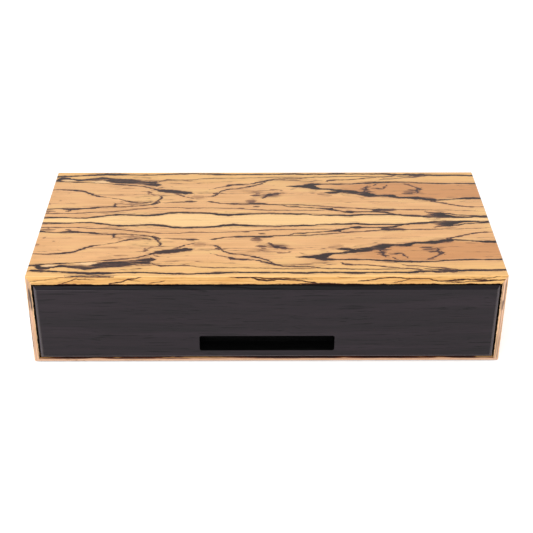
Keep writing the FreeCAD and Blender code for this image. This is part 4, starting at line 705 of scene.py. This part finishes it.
# The bevels meet in mitres. The top one has painted shade, dull and darkest in its middle, with a painted
# highlight along its front edge at the left; the others have painted highlights towards their outer edge.
BEVEL = 2.9  # mm, the bevel and 0.1 mm of the flat face beside it
low, high = box("drawer_front")
x, y, z = add("SeparateXYZ", place).node.outputs
aside = add("Math ABSOLUTE", x)
face = add("Math LESS_THAN", y, low[1] + BEVEL)
into_side = add("Math SUBTRACT", aside, high[0] - BEVEL)
into_top = add("Math SUBTRACT", z, high[2] - BEVEL)
into_foot = add("Math SUBTRACT", low[2] + BEVEL, z)
mitre = add("MapRange", add("Math SUBTRACT", into_top, into_side), -0.2, 0.2)
bevel = add("Math MULTIPLY", add("MapRange", into_top, 0.0, 0.3), mitre)
# Painted shade on the top bevel, darkest in its middle.
bevel_painted_shade = add("MixRGB", add("MapRange", aside, 90.0, 185.0), "#090709", "#19141A")
wood = add("MixRGB", bevel, wood, bevel_painted_shade)
# Painted highlight along the top bevel's front edge, towards the left.
arris_painted_highlight = add("MapRange", add("Math SUBTRACT", into_top, 0.1), 0.5, 0.2)
arris_painted_highlight = add("Math MULTIPLY", arris_painted_highlight, add("Math GREATER_THAN", into_top, 0.0))
arris_painted_highlight = add("Math MULTIPLY", arris_painted_highlight, add("MapRange", x, -110.0, -165.0, 0.0, 0.7))
wood = add("MixRGB", arris_painted_highlight, wood, "#3C373B")
# Painted highlights on the side and foot bevels, towards their outer edge.
beside = add("MapRange", into_side, 0.4, 2.8)
beside = add("Math MULTIPLY", beside, add("Math SUBTRACT", 1.0, mitre))
edge = add("Math MAXIMUM", beside, add("MapRange", into_foot, 0.0, 2.6))
wood = add("MixRGB", add("Math MULTIPLY", edge, face), wood, "#665F64")
# Painted shade: the slot is made near black and dull inside, and the board's back is as dark.
SLOT = ((x, -57.7, 57.7), (z, 14.2, 29.6))  # mm, its sides, its foot and its top, each 0.2 mm further out
inside = add("Math GREATER_THAN", y, low[1] + 0.1)
for way, start_at, end_at in SLOT:
    inside = add("Math MULTIPLY", inside, add("Math GREATER_THAN", way, start_at))
    inside = add("Math MULTIPLY", inside, add("Math LESS_THAN", way, end_at))
dull = add("Math MAXIMUM", inside, add("Math MULTIPLY_ADD", face, -1.0, 1.0))
feed(shader, Base_Color=add("MixRGB", dull, wood, "#050505"),
     Specular_IOR_Level=add("MapRange", add("Math MAXIMUM", dull, bevel), 0.0, 1.0, 0.28, 0.1),
     Normal=add("Bump", Height=add("Math MULTIPLY", cut, -1.0), Distance=0.00012, Strength=0.5),
     Roughness=add("MapRange", cut, 0.0, 0.75, 0.4, 0.7))
lay_on(stained, "drawer_front")


# The seal: a strip of black silicone with a round face, pressed into the back of the drawer front
# along its edge. It closes against the front edge of the cedar lining.

SEAL_HALF = 1.5  # mm, half the strip's width
BEND = 3.0  # mm, radius of its middle line at the corners
low, high = box("drawer_seal")
turn = np.linspace(0, 2 * np.pi, 41)[:-1] + np.pi / 40
quarter = np.floor(turn / (np.pi / 2)).astype(int)
reach = np.array([high[0] - low[0], high[2] - low[2]]) / 2 - SEAL_HALF - BEND
side = np.array([[1, 1], [-1, 1], [-1, -1], [1, -1]])[quarter]
middle = np.array([low[0] + high[0], low[2] + high[2]]) / 2
normal = np.stack([np.cos(turn), np.sin(turn)], -1)
path = middle + side * reach + BEND * normal  # corners of a rectangle, each rounded by a quarter circle
lift = np.linspace(0, np.pi, 13)
section = SEAL_HALF * np.cos(lift)  # a half ellipse on the front's back face, closed by its flat side
seal_points = np.stack(np.broadcast_arrays(
    path[:, None, 0] + normal[:, None, 0] * section,
    low[1] + (high[1] - low[1]) * np.sin(lift),
    path[:, None, 1] + normal[:, None, 1] * section), -1)
seal = surface("silicone_seal", [seal_points], round_rows=True, round_columns=True)
# Moulded silicone: black and soft, with dust on it that dulls it here and there.
silicone, shader, place = start("moulded_silicone", 0.5, Specular_IOR_Level=0.4)
dust = add("TexNoise", Vector=place, Scale=0.35, Detail=4.0)
feed(shader, Base_Color=add("ValToRGB", dust, stops=[(0.4, "#141415"), (0.7, "#232325")]),
     Roughness=add("MapRange", dust, 0.3, 0.7, 0.42, 0.6))
place_piece(seal, silicone, "drawer", "seal_rubber", "drawer_seal")


# The ball slides: rails rolled from 1 mm steel and plated with bright zinc, cages punched from
# thinner steel, and hardened balls that roll in the grooves between the rails.


def metal(name, light, dark, roughness, run, width=0.5):
    """Bright metal with fine marks along the way it was worked: run is the axis, width the marks' in mm."""
    material, shader, place = start(name, roughness, Metallic=1.0)
    cell = [width] * 3
    cell[run] = width * 60
    marks = grain(place, *cell)
    bloom = add("TexNoise", Vector=place, Scale=0.08, Detail=3.0)
    both = add("Math ADD", marks, bloom)
    feed(shader, Base_Color=add("ValToRGB", both, stops=[(0.7, dark), (1.0, light)]),
         Roughness=add("MapRange", bloom, 0.3, 0.7, roughness - 0.06, roughness + 0.08),
         Normal=add("Bump", Height=marks, Distance=0.00001, Strength=0.4))
    return material


# Zinc is bright and bluish on the rails, and yellower and duller on the cages. Polished balls are brighter.
rolled = metal("zinc_plated_rolled_steel", "#C9CDD0", "#A9AEB2", 0.32, 1)
punched = metal("zinc_plated_punched_steel", "#B9B7A8", "#9A988C", 0.38, 1, 0.8)
hardened = metal("polished_ball_steel", "#D9DBDD", "#BFC2C5", 0.12, 0, 0.3)
BALL = 1.45  # mm, radius, inside the facets that the collision model keeps
BALLS_PER_ROW = 4
polar, around = np.meshgrid(np.linspace(0, np.pi, 11), np.linspace(0, 2 * np.pi, 19)[:-1], indexing="ij")
# A ball: every point lies one radius from its middle, at a polar angle and a turn.
ball = BALL * np.stack([np.sin(polar) * np.cos(around), np.sin(polar) * np.sin(around), np.cos(polar)], -1)
for side in ("left", "right"):
    lay_on(rolled, f"{side}_outer_rail", f"{side}_middle_rail", f"{side}_inner_rail")
    lay_on(punched, f"{side}_outer_cage", f"{side}_inner_cage")
    for stage in ("outer", "inner"):
        low, high = box(f"{side}_{stage}_balls")
        half = (high[0] - low[0]) / 2
        y, z = np.meshgrid(np.linspace(low[1] + half, high[1] - half, BALLS_PER_ROW),
                           [low[2] + half, high[2] - half])
        middles = np.stack([np.full(y.size, (low[0] + high[0]) / 2), y.ravel(), z.ravel()], -1)
        balls = surface(f"{side}_{stage}_bearing_balls", middles[:, None, None] + ball, round_columns=True)
        place_piece(balls, hardened, f"{side}_{stage}_stage", "ball_steel", f"{side}_{stage}_balls")


# The screws: countersunk steel screws with a cross recess. Four hold the front to the drawer's box,
# and three on each side hold each rail, with thinner heads so that the rails clear them.


def screws(name, heads, inward, head, shank, thick, length, arm):
    """Screws as one mesh: heads are the middles of their faces, inward the ways their shanks run.

    head and shank are radii, thick the head's height, and arm half the width of the recess's arms. A
    profile spins round each axis: over the face, down the head's short wall and cone, along the shank and
    to its point. The face sinks where a point lies within the recess: closer to one of the two crossing
    centre lines than half an arm, and closer to the axis than the recess reaches.
    """
    wall, point, reach, deep = 0.35, 0.85, 0.62, 0.55  # shares of thick, of length, of head and of thick
    rings = 12  # over the face
    spin = np.linspace(0, 2 * np.pi, 49)[:-1]
    radius = np.concatenate([np.linspace(0, head, rings), [head, shank, shank, 0.0]])
    depth = np.concatenate([np.zeros(rings), [thick * wall, thick, length * point, length]])
    ring, angle = np.meshgrid(radius, spin, indexing="ij")
    sink = np.repeat(depth[:, None], len(spin), 1)
    aside = ring * np.minimum(abs(np.sin(angle)), abs(np.cos(angle)))
    recess = np.clip((arm - aside) / 0.2 + 0.5, 0, 1) * np.clip((head * reach - ring) / 0.25 + 0.5, 0, 1)
    sink[:rings] += recess[:rings] * thick * deep
    heads, inward = np.asarray(heads, float), np.asarray(inward, float)
    upward = np.broadcast_to([0.0, 0.0, 1.0], inward.shape)
    aside_way = np.cross(inward, upward)
    points = (heads[:, None, None] + inward[:, None, None] * sink[..., None]
              + upward[:, None, None] * (ring * np.cos(angle))[..., None]
              + aside_way[:, None, None] * (ring * np.sin(angle))[..., None])
    return surface(name, points, round_columns=True, sharp=30.0)


# Zinc on a turned screw is a little warmer than on the rails, with marks up and down its head.
driven = metal("zinc_plated_screw_steel", "#C4C4BE", "#9C9C98", 0.3, 2, 0.3)
SCREW_LEVEL = 52.0  # mm, the height of the front's screws
FRONT_REACH, RAIL_REACH = 3.326, 2.22  # mm, from a CAD head's middle to its eight flat sides
low, high = box("front_screws")
spots = np.array([-1, -1 / 3, 1 / 3, 1]) * (high[0] - FRONT_REACH)
heads = np.stack([spots, np.full(4, high[1]), np.full(4, SCREW_LEVEL)], -1)
piece = screws("drawer_front_screws", heads, [(0, -1, 0)] * 4, head=3.3, shank=1.7, thick=2.0,
               length=high[1] - low[1], arm=0.55)
place_piece(piece, driven, "drawer", "screw_steel", "front_screws")
# The rails' screws: name, node, body, and how far their faces and their points lie from the middle, in mm.
for name, node, body, face, point in (
        ("outers_rail_screws", "outer_rail_screws", "case", 188.3, box("outer_rail_screws")[1][0]),
        ("inners_rail_screws", "inner_rail_screws", "drawer", 179.0, 170.3)):
    low, high = box(node)
    side, place = (grid.ravel() for grid in np.meshgrid(
        [-1.0, 1.0], [low[1] + RAIL_REACH, 0.0, high[1] - RAIL_REACH]))
    heads = np.stack([side * face, place, np.full(6, (low[2] + high[2]) / 2)], -1)
    inward = np.stack([side * np.sign(point - face), place * 0, place * 0], -1)
    piece = screws(name, heads, inward, head=2.2, shank=1.2, thick=0.7, length=abs(point - face), arm=0.35)
    place_piece(piece, driven, body, "screw_steel", node)


# The hygrometer: a spun brass cup and turned bezel set in the cedar block, a white enamelled dial
# under flat glass, and a blued needle on a steel spindle that a coil turns as it takes up moisture.

# Brass turned on a lathe and polished: warm yellow, with fine rings round the axis, 0.25 mm apart, drawn
# about three times as coarse as the tool left them.
RINGS = 0.25  # mm
low, high = box("hygrometer_dial")
middle, face = (low + high)[:2] / 2, high[2]
brass, shader, place = start("turned_brass", 0.2, Metallic=1.0)
rise = add("SeparateXYZ", place).node.outputs["Z"]
ring = add("CombineXYZ", ellipse(place, *middle, 1, 1), rise)  # how far from the axis, and how high
marks = add("TexNoise", Vector=add("VectorMath SCALE", ring, Scale=1 / RINGS), Scale=1.0, Detail=2.0)
bloom = add("TexNoise", Vector=place, Scale=0.1, Detail=3.0)
feed(shader, Base_Color=add("ValToRGB", bloom, stops=[(0.35, "#B99654"), (0.65, "#CDAC6A")]),
     Roughness=add("MapRange", marks, 0.3, 0.7, 0.14, 0.28),
     Normal=add("Bump", Height=marks, Distance=0.000008, Strength=0.5))
lay_on(brass, "hygrometer_bezel", "hygrometer_cup")
# Drawn steel is clean and grey, and the rolled bronze of the coil brown and duller.
lay_on(metal("drawn_spindle_steel", "#BFC2C4", "#93979A", 0.25, 2, 0.3), "hygrometer_spindle", "coil_post")
lay_on(metal("rolled_coil_bronze", "#B98A5C", "#8F6540", 0.35, 2, 0.3), "humidity_coil")


def speckled(name, roughness, scale, detail, dark, light, **settings):
    """A material clouded between two close colours, and the clouds. Scale is in cells to the millimetre."""
    material, shader, place = start(name, roughness, **settings)
    clouds = add("TexNoise", Vector=place, Scale=scale, Detail=detail)
    feed(shader, Base_Color=add("ValToRGB", clouds, stops=[dark, light]))
    return material, shader, clouds


# Fired enamel is warm white and glossy. Blued steel is dark, with a blue that comes and goes. Printed ink
# is black, and duller than both.
enamel, *_ = speckled("fired_dial_enamel", 0.3, 0.5, 4.0, (0.35, "#E4DFD2"), (0.6, "#F1EDE2"))
lay_on(enamel, "hygrometer_dial")
blued, *_ = speckled("blued_needle_steel", 0.28, 0.4, 3.0, (0.3, "#10121C"), (0.7, "#25304A"), Metallic=1.0)
lay_on(blued, "hygrometer_needle")
printed, *_ = speckled("printed_black_ink", 0.5, 2.0, 2.0, (0.3, "#101012"), (0.7, "#1F1F22"))

# Clear flat glass, with the faint smears of a thumb. Light from the lamps passes it straight to the dial.
glass, shader, place = start("flat_float_glass", 0.01, Transmission_Weight=1.0, IOR=1.5)
smear = add("TexNoise", Vector=place, Scale=0.12, Detail=3.0)
feed(shader, Roughness=add("MapRange", smear, 0.5, 0.9, 0.0, 0.02))
tree = glass.node_tree
shadow = add("LightPath", tree=tree).node.outputs["Is Shadow Ray"]
pane = add("MixShader", shadow, shader.outputs[0], add("BsdfTransparent", tree=tree))
feed(tree.nodes["Material Output"], Surface=pane)
lay_on(glass, "hygrometer_glass")

# The scale: strokes every 2 per cent round three quarters of a circle, longer every 10, and a number
# every 20. They are printed on the enamel in black, a few hundredths of a millimetre thick.
PRINT = 0.03  # mm
FIRST, LAST = math.radians(-135), math.radians(135)  # clockwise from the dial's top, towards +Y
STROKE_END, TENS_START, STROKE_START, NUMBERS = 17.6, 14.6, 16.0, 11.9  # mm, radii
TENS_HALF, STROKE_HALF = 0.16, 0.08  # mm, half a stroke's width
NUMBER_SIZE = 3.1  # mm
value = np.arange(0, 101, 2)
bearing = FIRST + (LAST - FIRST) * value / 100
tens = value % 10 == 0
inner = np.where(tens, TENS_START, STROKE_START)
half = np.where(tens, TENS_HALF, STROKE_HALF)
outward = np.stack([np.sin(bearing), np.cos(bearing)], -1)
aside = np.stack([np.cos(bearing), -np.sin(bearing)], -1)
# Each stroke is a bar: its two ends on two circles, half a width to each side of its bearing.
ends = np.stack([middle + outward * inner[:, None], middle + outward * STROKE_END], 1)
bars = ends[:, :, None] + np.array([-1, 1])[None, None, :, None] * (aside * half[:, None])[:, None, None]
bars = np.concatenate([bars, np.full(bars.shape[:3] + (1,), face + PRINT)], -1)
strokes = surface("dial_strokes", bars)
thicken(strokes, PRINT * 0.9)
place_piece(strokes, printed, "hygrometer", "dial_enamel")

joined = bmesh.new()
for number in range(0, 101, 20):
    bearing = FIRST + (LAST - FIRST) * number / 100
    text = bpy.data.curves.new(f"number_{number}", "FONT")
    text.body, text.size, text.extrude = str(number), NUMBER_SIZE * MM, PRINT * MM / 2
    text.align_x, text.align_y = "CENTER", "CENTER"
    drawn = bpy.data.objects.new(f"number_{number}", text)
    bpy.context.scene.collection.objects.link(drawn)
    bpy.context.view_layer.update()
    mesh = bpy.data.meshes.new_from_object(drawn.evaluated_get(bpy.context.evaluated_depsgraph_get()))
    bpy.data.objects.remove(drawn)
    spot = Vector((*(middle + NUMBERS * np.array([math.sin(bearing), math.cos(bearing)])), face + PRINT / 2))
    mesh.transform(Matrix.Translation(spot * MM))
    joined.from_mesh(mesh)
mesh = bpy.data.meshes.new("dial_numbers")
joined.to_mesh(mesh)
joined.free()
figures = bpy.data.objects.new("dial_numbers", mesh)
bpy.context.scene.collection.objects.link(figures)
place_piece(figures, printed, "hygrometer", "dial_enamel")


# The humidifier: a moulded black tray and slotted cover, with a block of green cut foam in the tray
# that holds the water. The foam is brittle and full of fine open cells.

# ABS from a spark-eroded mould: black and half matt, with an even texture 0.45 mm wide.
plastic, shader, spark = speckled("moulded_black_abs", 0.42, 2.2, 2.0, (0.3, "#161617"), (0.7, "#222224"))
feed(shader, Normal=add("Bump", Height=spark, Distance=0.00004, Strength=0.5))
lay_on(plastic, "humidifier_tray", "humidifier_cover")

ROUND = 1.2  # mm, how far the block's edges have crumbled
CELL = 0.5  # mm, how deep the open cells go
SQUARE = 40  # how square the block is: 2 would make its outline an ellipse
CAP_ROWS, SIDE_ROWS = 13, 8
low, high = box("humidifier_foam")
middle, half = (low + high) / 2, (high - low) / 2
around = np.linspace(0, 2 * np.pi, 241)[:-1]
# The outline is a rectangle with slightly rounded corners: the larger share of a direction sets its reach.
way = np.stack([np.cos(around), np.sin(around)], -1)
outline = way / (abs(way / half[:2]) ** SQUARE).sum(-1, keepdims=True) ** (1 / SQUARE)
cap = np.arange(CAP_ROWS) / CAP_ROWS
rise = np.concatenate([cap, np.ones(SIDE_ROWS), cap[::-1]])
level = np.concatenate([np.full(CAP_ROWS, -1.0), np.linspace(-1, 1, SIDE_ROWS), np.full(CAP_ROWS, 1.0)])
ease = 1 - ROUND / half[0] * (abs(level) ** 12) * rise**8
points = np.empty((len(rise), len(around), 3))
points[..., :2] = middle[:2] + outline * (rise * ease)[:, None, None]
points[..., 2] = middle[2] + half[2] * level[:, None]
# Open cells: the surface sinks where three waves of unlike length are all high.
cells = np.clip(np.sin(points[..., 0] * 2.9) + np.sin(points[..., 1] * 3.4 + points[..., 0])
                + np.sin(points[..., 2] * 3.1 + points[..., 1] * 1.7), 0, 3) / 3
points -= (points - middle) / half * (CELL * cells**2)[..., None]
foam = surface("water_foam", [points], round_columns=True, sharp=80.0)
# Phenolic foam: dull green and crumbly, with painted shade that darkens its cells.
cut_foam, shader, place = start("cut_phenolic_foam", 0.9, Specular_IOR_Level=0.2)
cell = add("TexVoronoi", Vector=place, Scale=1.3)
tone = add("Math MULTIPLY", cell, add("TexNoise", Vector=place, Scale=0.5, Detail=4.0))
feed(shader, Base_Color=add("ValToRGB", tone, stops=[(0.05, "#1F3D25"), (0.4, "#4C7A4B")]),
     Normal=add("Bump", Height=cell, Distance=0.0003, Strength=0.8))
place_piece(foam, cut_foam, "humidifier", "foam", "humidifier_foam")


# The studio: a pale floor that runs out to white, an even white surround, a large soft lamp high in
# front and a weaker one on each side. The camera stands in front, a little above the humidor.


def seen_straight(tree):
    """1 for a ray that sees the studio directly, by reflection or through glass, else 0."""
    seen = add("LightPath", tree=tree).node.outputs
    straight = add("Math ADD", seen["Is Camera Ray"], seen["Is Glossy Ray"])
    return add("Math ADD", straight, seen["Is Transmission Ray"], clamp=True)


# Backdrop paper: matt and even. The glow is added to the lit paper where it is seen, so that it reaches
# white outside the shadow and further off.
FLOOR_HALF, FLOOR_LEVEL = 4000.0, -0.2  # mm, just under the felt
GLOW, FAR_GLOW = 0.46, 1.0
corners = np.meshgrid([-FLOOR_HALF, FLOOR_HALF], [-FLOOR_HALF, FLOOR_HALF])
floor = surface("studio_floor", [np.stack(corners + [np.full((2, 2), FLOOR_LEVEL)], -1)])
paper, shader, place = start("pale_backdrop_paper", 0.9, Specular_IOR_Level=0.0)
tooth = add("TexNoise", Vector=place, Scale=0.4, Detail=3.0)
feed(shader, Base_Color=add("ValToRGB", tooth, stops=[(0.3, "#E6E6E6"), (0.7, "#EAEAEA")]))
away = add("VectorMath LENGTH", place).node.outputs["Value"]
glow = add("MapRange", away, 500.0, 1500.0, GLOW, FAR_GLOW)
glow = add("Math MULTIPLY", seen_straight(paper.node_tree), glow)
glow = add("Emission", (1, 1, 1, 1), glow)
feed(paper.node_tree.nodes["Material Output"], Surface=add("AddShader", shader.outputs[0], glow))
floor.data.materials.append(paper)

AMBIENT = 0.6  # strength of the surround where it isn't seen straight
world = bpy.data.worlds.new("studio")
world.use_nodes = True
level = add("Math MULTIPLY_ADD", seen_straight(world.node_tree), 1.0 - AMBIENT, AMBIENT)
feed(world.node_tree.nodes["Background"], (1, 1, 1, 1), level)
bpy.context.scene.world = world

TARGET = Vector((0, 0, 0.045))  # m, about the object's middle
for name, spot, size, power in (("front_lamp", (-0.35, -1.25, 1.35), 1.3, 19.0),
                                ("left_lamp", (-1.5, -0.3, 0.8), 0.9, 4.0),
                                ("right_lamp", (1.5, -0.3, 0.8), 0.9, 4.0)):
    lamp = bpy.data.lights.new(name, "AREA")
    lamp.shape, lamp.size, lamp.energy = "SQUARE", size, power
    holder = bpy.data.objects.new(name, lamp)
    holder.location = spot
    holder.rotation_euler = (TARGET - Vector(spot)).to_track_quat("-Z", "Y").to_euler()
    bpy.context.scene.collection.objects.link(holder)

LENS, SENSOR = 78.2, 36.0  # mm
STAND = Vector((-0.0094, -0.9100, 0.5876))  # m
PITCH, YAW, ROLL = (math.radians(angle) for angle in (31.101, 0.617, 0.211))
forward = Vector((math.sin(YAW) * math.cos(PITCH), math.cos(YAW) * math.cos(PITCH), -math.sin(PITCH)))
right = Vector((math.cos(YAW), -math.sin(YAW), 0))
upward = right.cross(forward)
right, upward = (math.cos(ROLL) * right + math.sin(ROLL) * upward,
                 math.cos(ROLL) * upward - math.sin(ROLL) * right)
lens = bpy.data.cameras.new("camera")
lens.lens, lens.sensor_width = LENS, SENSOR
camera = bpy.data.objects.new("camera", lens)
camera.matrix_world = Matrix.Translation(STAND) @ Matrix((right, upward, -forward)).transposed().to_4x4()
bpy.context.scene.collection.objects.link(camera)
bpy.context.scene.camera = camera
bpy.context.scene.view_settings.view_transform = "Standard"
